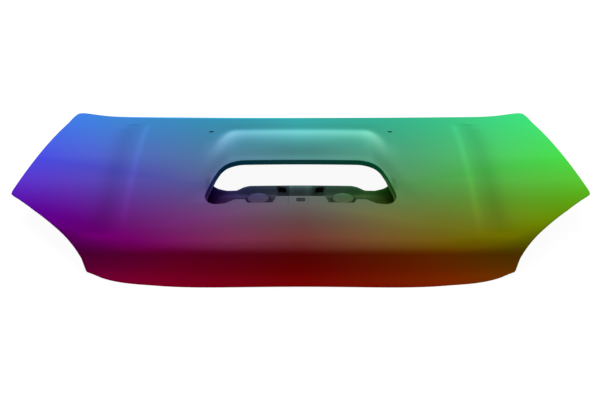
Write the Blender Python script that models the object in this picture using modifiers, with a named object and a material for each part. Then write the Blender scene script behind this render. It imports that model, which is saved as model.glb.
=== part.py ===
"""A car bonnet: a pressed outer skin hemmed round a pressed inner frame, with its hardware.

Metres, +Z up. X runs across the car, the nose points to -Y, and the bonnet lies right side up on its
nose hem and its two rear corners.
"""

import math

import bmesh
import bpy
import numpy as np
from mathutils import Matrix, Vector
from mathutils.bvhtree import BVHTree

# Outline in plan, half of it, seen from above
SHOULDER = 0.44
WING_HALF = 0.684
FRONT_MIDDLE_Y = -0.519
FRONT_CORNER = (SHOULDER + 0.063, FRONT_MIDDLE_Y + 0.0608)
FRONT_BOW = 4.6
TIP = (WING_HALF + 0.0491, -0.1744)
HEADLAMP_CUT = [
    (FRONT_CORNER[0] + 0.010, FRONT_CORNER[1] + 0.0182),
    (FRONT_CORNER[0] + 0.0338, FRONT_CORNER[1] + 0.0462),
    (TIP[0] - 0.0187, TIP[1] - 0.0176),
]
WING_STRAIGHT_Y = 0.42
WING_BOW = 1.5
REAR_TAPER = 0.0135
TAPER_START_Y = 0.41
TAPER_LENGTH = 0.1
REAR_CORNER_Y = 0.5265
REAR_MIDDLE_Y = 0.366
REAR_BOW = 2.1
BEND_ROW = (FRONT_MIDDLE_Y + 0.057, FRONT_MIDDLE_Y + 0.101)
TIP_ROW_MIDDLE_Y = -0.25

# Form of the skin
DECK_HEIGHT = 0.105
DECK_CROWN = 0.225
CROWN_Y = -0.13
CROWN_FRONT = 0.0776
CROWN_REAR = 0.049
NOSE_SLOPE = 1.25
NOSE_RADIUS = 0.013
NOSE_Y = BEND_ROW[0]
NOSE_BOW = 5
CREASE_WIDTH = 0.06
CREASE_FADE = 0.13
CREASE_DEPTH = 0.007
CREASE_FRONT_Y = FRONT_MIDDLE_Y + 0.099
CREASE_FRONT_LENGTH = 0.15
CREASE_REAR_Y = 0.30
CREASE_REAR_LENGTH = 0.03
LIP_HEIGHT = 0.0125
LIP_X = 0.68
LIP_WIDTH = 0.09
LIP_Y = 0.40
LIP_LENGTH = 0.12

# Hump behind the opening
HUMP_HEIGHT = 0.038
HUMP_FRONT_Y = -0.278
HUMP_TOP_Y = -0.10
HUMP_REAR_Y = 0.02
HUMP_REAR_LENGTH = 0.26
HUMP_FRONT_HALF = 0.235
HUMP_TAPER = 0.06
HUMP_SIDE = 0.075

# Opening in the skin, half of it
OPENING_REAR_Y = -0.1205
OPENING_REAR_HALF = 0.2005
OPENING_FRONT_Y = -0.2845
OPENING_FRONT_HALF = 0.2410
OPENING_REAR_RADIUS = 0.078
OPENING_FRONT_RADIUS = 0.034
RIM_DEPTH = 0.012
RIM_LEAN = 0.002
FRONT_LIP = 0.0024
TONGUE_REACH = 0.033
TONGUE_HALF = 0.060
TONGUE_END_HALF = 0.072
SMALL_TONGUE_REACH = 0.020
SMALL_TONGUE = (0.128, 0.142, 0.160)
SLOT_WIDTH = 0.022
SLOT_LENGTH = 0.018
SLOT_Y = -0.271
JET_HOLE = 0.0095
JET_X = 0.248
JET_Y = 0.1997

# Sheet metal and the hem
SKIN = 0.0008
FRAME_SHEET = 0.0007
GAP = 0.0003
HEM_WIDTH = 0.011
HEM_RING = 0.014
HEM_END_GAP = 0.0012
HEM_GAP = 0.0005
HEM_DROP = SKIN + HEM_GAP + FRAME_SHEET + HEM_GAP + SKIN

# Inner frame
CHANNEL_DEPTH = 0.025
REAR_CHANNEL_DEPTH = 0.021
RIM_GAP = 0.005
WINDOW_RIM = 0.018
COLLAR_HOLE_DEPTH = 0.015
WINDOW_RADIUS = 0.022
NOSE_SECTION = 0.008
STRIKER_PAD_Z = 0.047
FLOOR_CLEARANCE = 0.004
SEAT_HEIGHT = 0.008
COLLAR_DIP = 0.014
POCKET_DEPTH = 0.015
BEAD_REACH = 0.008
FRAME_OPENING_HALF = 0.223
FRAME_OPENING_Y = (-0.189, -0.065)
COLLAR_HOLE = (0.020, 0.012)
COLLAR_HOLE_X = 0.046
JET_ACCESS_X = 0.262
PLATE_CORNER = 0.006
ROUND_SIDES = 12
FILLET_LIMIT = 0.45
PRISM_HALF = 0.25

# Hardware
PLATE = 0.0016
BOLT_HOLE = 0.009
NUT_ACROSS = 0.013
NUT_HEIGHT = 0.0065
NUT_BORE = 0.0083
HINGE_PLATE = (0.052, 0.046)
HINGE_HOLE_PITCH = 0.026
STRIKER_PLATE = (0.074, 0.044)
STRIKER_PLATE_SHEET = 0.0025
STRIKER_REINFORCEMENT = (0.110, 0.044)
STRIKER_BOLT_PITCH = 0.052
BOLT_SHANK = 0.0076
BOLT_HEAD_ACROSS = 0.013
BOLT_HEAD_HEIGHT = 0.0053
BOLT_TIP = 0.0015
STRIKER_Y = FRONT_MIDDLE_Y + 0.083
LOOP_ROD = 0.008
LOOP_SPAN = 0.032
LOOP_DROP = 0.038
LOOP_RADIUS = 0.009
STAY_HOLE = 0.014
STAY_PLATE = (0.034, 0.034)
JET_ACCESS_HOLE = 0.026
MASTIC_DIAMETER = 0.55 * WINDOW_RIM
MASTIC_GAP = 0.0005

# Grid lines, in the middle's own measure: columns from the middle out, rows from the nose back
COLUMN_END = SHOULDER + 0.232
RING_SHARE = 2.2
SIDE_WINDOW_END = SHOULDER - 0.010
STAY_COLUMNS = (SHOULDER + 0.002, SHOULDER + 0.045)
OUTER_WINDOW = (SHOULDER + 0.057, SHOULDER + 0.203)
HINGE_COLUMN = SHOULDER + 0.130
LAST_COLUMN = SHOULDER + 0.215
OPENING_COLUMN = 0.256
SKIN_COLUMNS = [0.0, 0.030, 0.072, 0.100, 0.142, 0.185, 0.228, OPENING_COLUMN, 0.298, 0.365,
                *STAY_COLUMNS, OUTER_WINDOW[0], HINGE_COLUMN, OUTER_WINDOW[1]]
FRAME_COLUMNS = [0.0, 0.030, 0.050, 0.072, 0.100, 0.128, 0.142, 0.160, 0.185, 0.228, 0.241, OPENING_COLUMN,
                 0.285, 0.298, 0.365, SIDE_WINDOW_END, *STAY_COLUMNS, OUTER_WINDOW[0], HINGE_COLUMN,
                 OUTER_WINDOW[1], LAST_COLUMN]
FRONT_WINDOW_END = -0.322
NOSE_SPAN = FRONT_MIDDLE_Y - FRONT_WINDOW_END
NOSE_SHARES = (0.843, 0.761, 0.701, 0.629, 0.457, 0.386, 0.244)
NOSE_ROWS = [FRONT_WINDOW_END + NOSE_SPAN * share for share in NOSE_SHARES]
FRONT_CHANNEL_END, FRONT_WINDOW_START = NOSE_ROWS[4], NOSE_ROWS[5]
SKIN_ROWS = [*NOSE_ROWS, FRONT_WINDOW_END, -0.280, -0.250, -0.212, -0.192, -0.130, -0.052, -0.040,
             0.015, 0.072, 0.130, 0.188, 0.244, 0.300, 0.332]
FRAME_ROWS = [*NOSE_ROWS, FRONT_WINDOW_END, -0.308, -0.280, -0.250, -0.212, -0.200, -0.192, -0.130,
              -0.052, -0.040, 0.015, 0.028, 0.072, 0.130, 0.188, 0.231, 0.244, 0.300, 0.332]
OPENING_ROWS = (FRONT_WINDOW_END, -0.040)
OPENING_RING_SHARES = (0.35, 0.7, 1.0)

# Plateaus of the inner frame, as column and row ranges; each carries a window inside its rim
OPENING_PLATEAU = (-0.241, 0.241, -0.192, -0.052)
WINDOW_PLATEAUS = {
    "front": (0.050, 0.228, FRONT_WINDOW_START, FRONT_WINDOW_END),
    "rear_middle": (0.050, 0.228, 0.028, 0.231),
    "side_front": (0.298, SIDE_WINDOW_END, FRONT_WINDOW_START, -0.052),
    "side_rear": (0.298, SIDE_WINDOW_END, 0.028, 0.231),
    "outer_front": (*OUTER_WINDOW, -0.280, -0.052),
    "outer_rear": (*OUTER_WINDOW, 0.028, 0.231),
}
MASTIC_INSET = 0.009
MASTIC_PLACES = [(0.307, -0.345), (0.307, -0.130), (0.307, 0.130), (0.059, 0.130)]
MASTIC_PLACES += [(SIDE_WINDOW_END - MASTIC_INSET, row) for row in (-0.345, -0.130, 0.130)]
MASTIC_PLACES += [(OUTER_WINDOW[1] - MASTIC_INSET, row) for row in (-0.130, 0.130)]
MASTIC_PLACES.append((OUTER_WINDOW[0] + MASTIC_INSET, 0.130))
HINGE_PAD = (HINGE_COLUMN, OUTER_WINDOW[1], 0.244, 0.300)
STAY_PAD = (*STAY_COLUMNS, -0.250, -0.212)
CHANNEL_LINE = 0.100
SHELF_ROWS = (-0.280, -0.212)
SEAT_COLUMNS = (0.072, 0.128)
POCKET_START = 0.185
COLLAR_ROWS = (-0.200, -0.192)
BEAD_HALF = 0.030


def clamp(value, low=0.0, high=1.0):
    return max(low, min(high, value))


def smooth(value):
    value = clamp(value)
    return value * value * (3 - 2 * value)


def softplus(value, width):
    return width * math.log1p(math.exp(clamp(value / width, -40, 40)))


def side_half_width(y):
    """Half the bonnet's width at y, along the headlamp cut and then the wing line."""
    if y < TIP[1]:
        points = [FRONT_CORNER] + HEADLAMP_CUT + [TIP]
        return float(np.interp(y, [p[1] for p in points], [p[0] for p in points]))
    bow = clamp((WING_STRAIGHT_Y - y) / (WING_STRAIGHT_Y - TIP[1]))
    taper = max(0.0, (y - TAPER_START_Y) / TAPER_LENGTH)
    return WING_HALF + (TIP[0] - WING_HALF) * bow ** WING_BOW - REAR_TAPER * taper ** 1.5


def plan_point(column, row):
    """Plan position of a grid crossing; column COLUMN_END is the bonnet's own side."""
    middle = [FRONT_MIDDLE_Y, BEND_ROW[0], TIP_ROW_MIDDLE_Y, REAR_MIDDLE_Y]
    side = [FRONT_CORNER[1], BEND_ROW[1], TIP[1], REAR_CORNER_Y]
    side_y = float(np.interp(row, middle, side))
    half = side_half_width(side_y)
    if column <= SHOULDER:
        x = column
    elif column < COLUMN_END:
        share = (column - SHOULDER) / (COLUMN_END - SHOULDER)
        x = SHOULDER + (half - RING_SHARE * HEM_RING - SHOULDER) * share
    else:
        x = half
    back = (row - FRONT_MIDDLE_Y) / (REAR_MIDDLE_Y - FRONT_MIDDLE_Y)
    bow = FRONT_BOW + (REAR_BOW - FRONT_BOW) * clamp(back)
    return Vector((x, row + (side_y - row) * (x / half) ** bow))


def deck_height(x, y):
    """Height of the skin without the hump."""
    x = abs(x)
    back = (y - FRONT_MIDDLE_Y) / (-2 * FRONT_MIDDLE_Y)
    crown = CROWN_FRONT * (1 - back) + CROWN_REAR * back
    z = DECK_HEIGHT - DECK_CROWN * (y - CROWN_Y) ** 2 - crown * x * x
    bend = NOSE_Y + (BEND_ROW[1] - BEND_ROW[0]) * clamp(x / FRONT_CORNER[0], 0, 1.3) ** NOSE_BOW
    z -= NOSE_SLOPE * softplus(bend - y, NOSE_RADIUS)
    crease = smooth((x - SHOULDER) / CREASE_WIDTH)
    crease *= 1 - smooth((x - SHOULDER - CREASE_WIDTH) / CREASE_FADE)
    crease *= 1 - smooth((y - CREASE_REAR_Y) / CREASE_REAR_LENGTH)
    z -= CREASE_DEPTH * crease * smooth((y - CREASE_FRONT_Y) / CREASE_FRONT_LENGTH)
    lip = math.exp(-((x - LIP_X) / LIP_WIDTH) ** 2)
    return z + LIP_HEIGHT * lip * smooth((y - LIP_Y) / LIP_LENGTH)


def hump_height(x, y):
    """Rise of the hump over the deck."""
    climb = clamp((y - HUMP_FRONT_Y) / (HUMP_TOP_Y - HUMP_FRONT_Y))
    rise = climb if y < HUMP_TOP_Y else 1 - smooth((y - HUMP_REAR_Y) / HUMP_REAR_LENGTH)
    half = HUMP_FRONT_HALF - HUMP_TAPER * climb
    return HUMP_HEIGHT * rise * (1 - smooth((abs(x) - half) / HUMP_SIDE))


def skin_height(x, y):
    return deck_height(x, y) + hump_height(x, y)


def skin_normal(x, y, step=0.0005):
    slope_x = (skin_height(x + step, y) - skin_height(x - step, y)) / (2 * step)
    slope_y = (skin_height(x, y + step) - skin_height(x, y - step)) / (2 * step)
    return Vector((-slope_x, -slope_y, 1)).normalized()


def below_skin(x, y, depth):
    """The point that lies depth below the skin's outer face, along its normal."""
    return Vector((x, y, skin_height(x, y))) - skin_normal(x, y) * depth


def left_of(direction):
    return Vector((-direction.y, direction.x))


def corner_ring(before, corner, after):
    """A rounded corner's inner point, its two feet on the edges and its middle."""
    first = left_of((corner - before).normalized())
    second = left_of((after - corner).normalized())
    inner = corner + (first + second) * (HEM_RING / (1 + first.dot(second)))
    middle = inner - (first + second).normalized() * HEM_RING
    return inner, inner - first * HEM_RING, inner - second * HEM_RING, middle


def plan_grid(columns, rows):
    """Plan points of half a panel by column and row number; the outer two lines are the hem's ring."""
    lines = list(columns) + [None, COLUMN_END]
    levels = [FRONT_MIDDLE_Y, None] + list(rows) + [None, REAR_MIDDLE_Y]
    side, back = len(lines) - 1, len(levels) - 1
    plan = {}
    for i, column in enumerate(lines):
        for j, row in enumerate(levels):
            if column is not None and row is not None:
                plan[i, j] = plan_point(column, row)
    inner, foot, side_foot, middle = corner_ring(
        plan_point(SHOULDER, FRONT_MIDDLE_Y), plan[side, 0], plan[side, 2])
    plan[side - 1, 1], plan[side - 1, 0] = inner, foot
    plan[side, 1], plan[side, 0] = side_foot, middle
    inner, side_foot, foot, middle = corner_ring(
        plan[side, back - 2], plan[side, back], plan_point(LAST_COLUMN, REAR_MIDDLE_Y))
    plan[side - 1, back - 1], plan[side, back - 1] = inner, side_foot
    plan[side - 1, back], plan[side, back] = foot, middle
    for i in range(side - 1):
        before, after = plan[max(i - 1, 0), 0], plan[i + 1, 0]
        plan[i, 1] = plan[i, 0] + left_of((after - before).normalized()) * HEM_RING
        before, after = plan[i + 1, back], plan[max(i - 1, 0), back]
        plan[i, back - 1] = plan[i, back] + left_of((after - before).normalized()) * HEM_RING
    for j in range(2, back - 1):
        before = left_of((plan[side, j] - plan[side, j - 1]).normalized())
        after = left_of((plan[side, j + 1] - plan[side, j]).normalized())
        plan[side - 1, j] = plan[side, j] + (before + after) * (HEM_RING / (1 + before.dot(after)))
    plan[0, 1].x = 0.0
    plan[0, back - 1].x = 0.0
    return plan, lines, levels


def edge_keys(side, back, inset=0):
    """Column and row numbers round half the perimeter, from the nose's middle to the rear's middle."""
    right, low, high = side - inset, inset, back - inset
    keys = [(i, low) for i in range(right)]
    keys += [(right, j) for j in range(low, high)]
    keys += [(i, high) for i in range(right, -1, -1)]
    return keys


def inward_key(key, side, back):
    """The ring point that an edge point faces."""
    return min(key[0], side - 1), clamp(key[1], 1, back - 1)


def nearest_on_line(points, target):
    """Where a chain of straight lines in plan passes nearest to target: a line's number and a share."""
    best = None
    for number, (start, end) in enumerate(zip(points, points[1:])):
        run = end - start
        share = clamp((target - start).dot(run) / run.length_squared)
        distance = (start.lerp(end, share) - target).length
        if best is None or distance < best[0]:
            best = (distance, number, share)
    return best[1:]


class Ring:
    """The hem's ring on the skin's own facets: its edge line and its inner line, at any depth."""

    def __init__(self):
        plan, lines, levels = plan_grid(SKIN_COLUMNS, SKIN_ROWS)
        side, back = len(lines) - 1, len(levels) - 1
        self.edge = [plan[key] for key in edge_keys(side, back)]
        self.inner = [plan[key] for key in edge_keys(side, back, 1)]

    def point(self, edge_plan, inner_plan, depth, share):
        """A point between the edge line (share 0) and the inner line (share 1)."""
        ends = []
        for line, target in ((self.edge, edge_plan), (self.inner, inner_plan)):
            number, along = nearest_on_line(line, target)
            start, end = line[number], line[number + 1]
            ends.append(below_skin(*start, depth).lerp(below_skin(*end, depth), along))
        return ends[0].lerp(ends[1], share)


def half_grid(plan, side, back, height):
    """A grid of half a panel as an open surface, with its vertices by column and row number."""
    bm = bmesh.new()
    bmesh.ops.create_grid(bm, x_segments=side, y_segments=back, size=0.5)
    vertices = {}
    for vertex in bm.verts:
        key = (round((vertex.co.x + 0.5) * side), round((vertex.co.y + 0.5) * back))
        vertices[key] = vertex
    for key, vertex in vertices.items():
        vertex.co = height(key, plan[key])
    return bm, vertices


def strip(bm, first, second):
    """Quads between two chains of vertices."""
    for k in range(len(first) - 1):
        bm.faces.new((first[k], first[k + 1], second[k + 1], second[k]))


def face_up(bm):
    """Turns an open surface so that its outer side is its upper side."""
    bmesh.ops.recalc_face_normals(bm, faces=bm.faces)
    bm.normal_update()
    if sum(face.normal.z * face.calc_area() for face in bm.faces) < 0:
        bmesh.ops.reverse_faces(bm, faces=bm.faces)


def fillet(before, corner, after, radius, steps):
    """Points on an arc that rounds a corner; its radius is limited by the edges it joins."""
    first, second = (before - corner).normalized(), (after - corner).normalized()
    half_angle = first.angle(second) / 2
    longest = FILLET_LIMIT * min((before - corner).length, (after - corner).length)
    reach = min(radius / math.tan(half_angle), longest)
    radius = reach * math.tan(half_angle)
    centre = corner + (first + second).normalized() * (radius / math.sin(half_angle))
    start = (corner + first * reach - centre).normalized()
    end = (corner + second * reach - centre).normalized()
    return [centre + start.slerp(end, k / steps) * radius for k in range(steps + 1)]


def rounded_outline(corners, radius, steps=2):
    """A closed outline in plan with each corner rounded; a corner with no flag stays sharp."""
    points = []
    for k, (corner, is_round) in enumerate(corners):
        before, after = corners[k - 1][0], corners[(k + 1) % len(corners)][0]
        points += fillet(before, corner, after, radius, steps) if is_round else [corner]
    return points


def opening_outline():
    """Half the opening's edge in plan, from the front's middle round to the rear's middle."""
    front, rear = OPENING_FRONT_Y, OPENING_REAR_Y
    front_corner = Vector((OPENING_FRONT_HALF, front))
    rear_corner = Vector((OPENING_REAR_HALF, rear))
    front_arc = fillet(Vector((0, front)), front_corner, rear_corner, OPENING_FRONT_RADIUS, 4)
    rear_arc = fillet(front_corner, rear_corner, Vector((0, rear)), OPENING_REAR_RADIUS, 4)
    start, end, straight = front_arc[-1], rear_arc[0], 4
    front_columns = (0.0, TONGUE_HALF / 2, TONGUE_HALF, TONGUE_END_HALF) + SMALL_TONGUE
    points = [Vector((x, front)) for x in front_columns]
    points += front_arc + [start.lerp(end, 0.5)] + rear_arc
    points += [Vector((rear_arc[-1].x * (1 - k / straight), rear)) for k in range(1, straight + 1)]
    return points


def rim_point(point, number):
    """The opening's edge turned in: down behind and beside it, back as tongues in front of it."""
    reaches = [TONGUE_REACH] * 3 + [FRONT_LIP] * 2 + [SMALL_TONGUE_REACH] * 2
    if number < len(reaches):
        reach = reaches[number]
        z = deck_height(point.x, point.y + reach) - SKIN
        return Vector((point.x, point.y + reach, z))
    middle_y = (OPENING_FRONT_Y + OPENING_REAR_Y) / 2
    lean = Vector((-point.x, middle_y - point.y)).normalized() * RIM_LEAN
    if point.x == 0:
        lean.x = 0.0
    return Vector((point.x + lean.x, point.y + lean.y, skin_height(*point) - RIM_DEPTH))


def make_skin():
    """Half the outer panel as an open surface, with its opening's rim and its hem."""
    plan, lines, levels = plan_grid(SKIN_COLUMNS, SKIN_ROWS)
    side, back = len(lines) - 1, len(levels) - 1
    bm, vertices = half_grid(plan, side, back, lambda key, p: Vector((p.x, p.y, skin_height(p.x, p.y))))
    right = lines.index(OPENING_COLUMN)
    low, high = (levels.index(row) for row in OPENING_ROWS)
    block = [(i, low) for i in range(right)] + [(right, j) for j in range(low, high)]
    block += [(i, high) for i in range(right, -1, -1)]
    chain = [vertices[key] for key in block]
    inside = [vertices[i, j] for i in range(right) for j in range(low + 1, high)]
    bmesh.ops.delete(bm, geom=inside, context='VERTS')

    outline = opening_outline()
    starts = [vertex.co.xy for vertex in chain]
    for share in OPENING_RING_SHARES:
        ring = []
        for start, end in zip(starts, outline):
            point = start.lerp(end, share)
            ring.append(bm.verts.new((point.x, point.y, skin_height(point.x, point.y))))
        strip(bm, ring, chain)
        chain = ring
    rim = [bm.verts.new(rim_point(point, number)) for number, point in enumerate(outline)]
    strip(bm, rim, chain)

    keys = edge_keys(side, back)
    edge = [vertices[key] for key in keys]
    folded, turned = [], []
    for key in keys:
        inner = plan[inward_key(key, side, back)]
        outer_low = below_skin(*plan[key], HEM_DROP)
        inner_low = below_skin(*inner, HEM_DROP)
        folded.append(bm.verts.new(outer_low))
        turned.append(bm.verts.new(outer_low.lerp(inner_low, HEM_WIDTH / HEM_RING)))
    strip(bm, edge, folded)
    strip(bm, folded, turned)
    for vertex in bm.verts:
        if abs(vertex.co.x) < HEM_DROP / 10:
            vertex.co.x = 0.0
    face_up(bm)
    return bm


def on_plateau(column, row):
    """Whether a grid crossing of the inner frame lies on a window's raised rim."""
    areas = list(WINDOW_PLATEAUS.values()) + [OPENING_PLATEAU]
    return any(a[0] <= column <= a[1] and a[2] <= row <= a[3] for a in areas)


def flat_pad(corners, depth):
    """A plane over four plan points, parallel to the skin over its middle: middle and normal."""
    middle = sum(corners, Vector((0, 0))) / len(corners)
    normal = skin_normal(*middle)
    return Vector((middle.x, middle.y, skin_height(*middle) - depth)), normal


def height_on(plane, point):
    middle, normal = plane
    run = point - middle.xy
    return middle.z - normal.xy.dot(run) / normal.z


def pad_corners(area):
    return [plan_point(column, row) for row in area[2:] for column in area[:2]]


def frame_height(column, row, point, floor):
    """Height of the inner frame's upper face at a grid crossing inside the hem's ring."""
    for area, depth in ((HINGE_PAD, REAR_CHANNEL_DEPTH), (STAY_PAD, CHANNEL_DEPTH)):
        if area[0] <= column <= area[1] and area[2] <= row <= area[3]:
            return height_on(flat_pad(pad_corners(area), depth), point)
    hump = hump_height(*point) if row >= WINDOW_PLATEAUS["rear_middle"][2] - CHANNEL_LINE else 0.0
    cover = deck_height(*point) + hump
    if row <= FRONT_CHANNEL_END:
        return min(STRIKER_PAD_Z, cover - NOSE_SECTION)
    if on_plateau(column, row):
        dip = COLLAR_DIP if row == OPENING_PLATEAU[2] and column in SMALL_TONGUE + (POCKET_START,) else 0.0
        return cover - RIM_GAP - dip
    depth = REAR_CHANNEL_DEPTH if row >= HINGE_PAD[2] else CHANNEL_DEPTH
    if SHELF_ROWS[0] <= row <= SHELF_ROWS[1]:
        if SEAT_COLUMNS[0] <= column <= SEAT_COLUMNS[1]:
            depth -= SEAT_HEIGHT
        if POCKET_START < column < WINDOW_PLATEAUS["side_front"][0]:
            depth += POCKET_DEPTH
    return max(cover - depth, floor + FLOOR_CLEARANCE + FRAME_SHEET)


def make_frame(floor):
    """Half the inner frame as an open surface; its flange lies inside the hem on the skin's facets."""
    plan, lines, levels = plan_grid(FRAME_COLUMNS, FRAME_ROWS)
    side, back = len(lines) - 1, len(levels) - 1
    ring = Ring()
    inset = (SKIN + HEM_END_GAP) / HEM_RING

    def height(key, point):
        i, j = key
        if i in (side, side - 1) or j in (0, 1, back - 1, back):
            on_edge = i == side or j in (0, back)
            inner = plan[inward_key(key, side, back)]
            edge = point if on_edge else plan[edge_partner(key, side, back)]
            place = ring.point(edge, inner, SKIN + HEM_GAP, inset if on_edge else 1.0)
            place.x = 0.0 if i == 0 else place.x
            return place
        y = point.y
        if lines[i] <= BEAD_HALF and levels[j] in COLLAR_ROWS:
            y -= BEAD_REACH
        return Vector((point.x, y, frame_height(lines[i], levels[j], point, floor)))

    bm, _ = half_grid(plan, side, back, height)
    face_up(bm)
    return bm


def edge_partner(key, side, back):
    """The edge point that a ring point faces."""
    i, j = key
    if i == side - 1:
        return (side, j)
    return (i, 0 if j == 1 else back)


def add_object(name, mesh, look=None, collection=None):
    piece = bpy.data.objects.new(name, mesh)
    (collection or parts).objects.link(piece)
    if look:
        mesh.materials.append(look)
    piece.parent = rest
    return piece


def mesh_from(bm, name):
    mesh = bpy.data.meshes.new(name)
    bm.to_mesh(mesh)
    bm.free()
    return mesh


def add_mirror(piece):
    mirror = piece.modifiers.new("both sides", 'MIRROR')
    mirror.use_clip = True
    mirror.merge_threshold = 0.00005


def add_sheet(piece, thickness):
    sheet = piece.modifiers.new("sheet metal", 'SOLIDIFY')
    sheet.thickness = thickness
    sheet.offset = -1
    sheet.solidify_mode = 'NON_MANIFOLD'
    sheet.nonmanifold_thickness_mode = 'CONSTRAINTS'
    sheet.nonmanifold_boundary_mode = 'NONE'
    facets = piece.modifiers.new("flat facets", 'TRIANGULATE')
    facets.quad_method = 'SHORTEST_DIAGONAL'


def add_cut(piece, cutter):
    cut = piece.modifiers.new(cutter.name, 'BOOLEAN')
    cut.operation = 'DIFFERENCE'
    cut.solver = 'EXACT'
    cut.object = cutter


def material(name, colour, roughness, metallic):
    look = bpy.data.materials.new(name)
    look.use_nodes = True
    shader = look.node_tree.nodes["Principled BSDF"]
    shader.inputs["Base Color"].default_value = (*colour, 1)
    shader.inputs["Roughness"].default_value = roughness
    shader.inputs["Metallic"].default_value = metallic
    return look


def axes_at(place, up=Vector((0, 0, 1))):
    """A matrix whose Z is up and whose Y runs to the rear, with its origin at place."""
    across = Vector((0, 1, 0)).cross(up).normalized()
    turn = Matrix((across, up.cross(across), up)).transposed()
    return Matrix.Translation(place) @ turn.to_4x4()


def cylinder(bm, matrix, diameter, low, high, sides=ROUND_SIDES):
    """A closed cylinder along a matrix's Z, from low to high."""
    shift = Matrix.Translation((0, 0, (low + high) / 2))
    bmesh.ops.create_cone(bm, cap_ends=True, segments=sides, radius1=diameter / 2, radius2=diameter / 2,
                          depth=high - low, matrix=matrix @ shift)


def box(bm, matrix, size, low, high):
    """A closed box along a matrix's Z, from low to high."""
    shift = Matrix.Translation((0, 0, (low + high) / 2))
    scale = Matrix.Diagonal((size[0], size[1], high - low, 1))
    bmesh.ops.create_cube(bm, size=1, matrix=matrix @ shift @ scale)


def outline_prism(points, name):
    """A tall prism over a plan outline, made from a filled 2D curve."""
    curve = bpy.data.curves.new(name, 'CURVE')
    curve.dimensions = '2D'
    curve.fill_mode = 'BOTH'
    curve.extrude = PRISM_HALF
    spline = curve.splines.new('POLY')
    spline.points.add(len(points) - 1)
    for spot, point in zip(spline.points, points):
        spot.co = (point.x, point.y, 0, 1)
    spline.use_cyclic_u = True
    return to_mesh(curve, name)


def to_mesh(curve, name):
    """The closed mesh of a curve, with its loose caps welded on."""
    guide = bpy.data.objects.new(name, curve)
    cutters.objects.link(guide)
    bpy.context.view_layer.update()
    mesh = bpy.data.meshes.new_from_object(guide.evaluated_get(bpy.context.evaluated_depsgraph_get()))
    bpy.data.objects.remove(guide)
    bm = bmesh.new()
    bm.from_mesh(mesh)
    bmesh.ops.remove_doubles(bm, verts=bm.verts, dist=0.00001)
    bmesh.ops.recalc_face_normals(bm, faces=bm.faces)
    bm.to_mesh(mesh)
    bm.free()
    mesh.name = name
    return mesh


def cutter(bm, name):
    piece = add_object(name, mesh_from(bm, name), collection=cutters)
    piece.hide_render = True
    piece.display_type = 'WIRE'
    return piece


def window_outline(area):
    """A window's outline inside its plateau's rim."""
    left, right = area[0] + WINDOW_RIM, area[1] - WINDOW_RIM
    low, high = area[2] + WINDOW_RIM, area[3] - WINDOW_RIM
    steps = 4
    corners = []
    for start, end, row in ((left, right, low), (right, left, high)):
        for k in range(steps + 1):
            corners.append((plan_point(start + (end - start) * k / steps, row), k in (0, steps)))
    return rounded_outline(corners, WINDOW_RADIUS)


def plate(name, matrix, size, thickness, holes, hole, look):
    """A flat plate with rounded corners that stands on a matrix's origin, with holes through it."""
    bm = bmesh.new()
    box(bm, matrix, size, 0, thickness)
    up = matrix.to_3x3().col[2]
    upright = [edge for edge in bm.edges
               if abs((edge.verts[1].co - edge.verts[0].co).normalized().dot(up)) > 0.99]
    bmesh.ops.bevel(bm, geom=upright, offset=PLATE_CORNER, segments=2, affect='EDGES', profile=0.5)
    piece = add_object(name, mesh_from(bm, name), look)
    bores = bmesh.new()
    for x, y in holes:
        cylinder(bores, matrix @ Matrix.Translation((x, y, 0)), hole, -thickness, 2 * thickness)
    add_cut(piece, cutter(bores, name + " holes"))
    return piece


def nut(name, matrix, look):
    """A hexagon weld nut that stands on a matrix's origin."""
    bm = bmesh.new()
    cylinder(bm, matrix, NUT_ACROSS / math.cos(math.pi / 6), 0, NUT_HEIGHT, sides=6)
    piece = add_object(name, mesh_from(bm, name), look)
    bore = bmesh.new()
    cylinder(bore, matrix, NUT_BORE, -NUT_HEIGHT, 2 * NUT_HEIGHT)
    add_cut(piece, cutter(bore, name + " bore"))


def bolt(name, matrix, length, look):
    """A hexagon bolt that points up a matrix's Z, with the underside of its head at the origin."""
    bm = bmesh.new()
    cylinder(bm, matrix, BOLT_HEAD_ACROSS / math.cos(math.pi / 6), -BOLT_HEAD_HEIGHT, 0, sides=6)
    piece = add_object(name, mesh_from(bm, name), look)
    shank = bmesh.new()
    cylinder(shank, matrix, BOLT_SHANK, -BOLT_HEAD_HEIGHT / 2, length)
    joined = piece.modifiers.new("shank", 'BOOLEAN')
    joined.operation = 'UNION'
    joined.solver = 'EXACT'
    joined.object = cutter(shank, name + " shank")


def striker_loop(top, look):
    """A bent rod: two legs and a bar that runs fore and aft."""
    low = top - LOOP_DROP + LOOP_ROD / 2
    ends = [STRIKER_Y - LOOP_SPAN / 2, STRIKER_Y + LOOP_SPAN / 2]
    flat = [Vector((ends[0], top)), Vector((ends[0], low)), Vector((ends[1], low)), Vector((ends[1], top))]
    route = [flat[0]] + fillet(flat[0], flat[1], flat[2], LOOP_RADIUS, 5)
    route += fillet(flat[1], flat[2], flat[3], LOOP_RADIUS, 5) + [flat[3]]
    curve = bpy.data.curves.new("striker_loop", 'CURVE')
    curve.dimensions = '3D'
    curve.bevel_depth = LOOP_ROD / 2
    curve.bevel_resolution = 2
    curve.use_fill_caps = True
    spline = curve.splines.new('POLY')
    spline.points.add(len(route) - 1)
    for spot, point in zip(spline.points, route):
        spot.co = (0, point.x, point.y, 1)
    add_object("striker_loop", to_mesh(curve, "striker_loop"), look)


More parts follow.
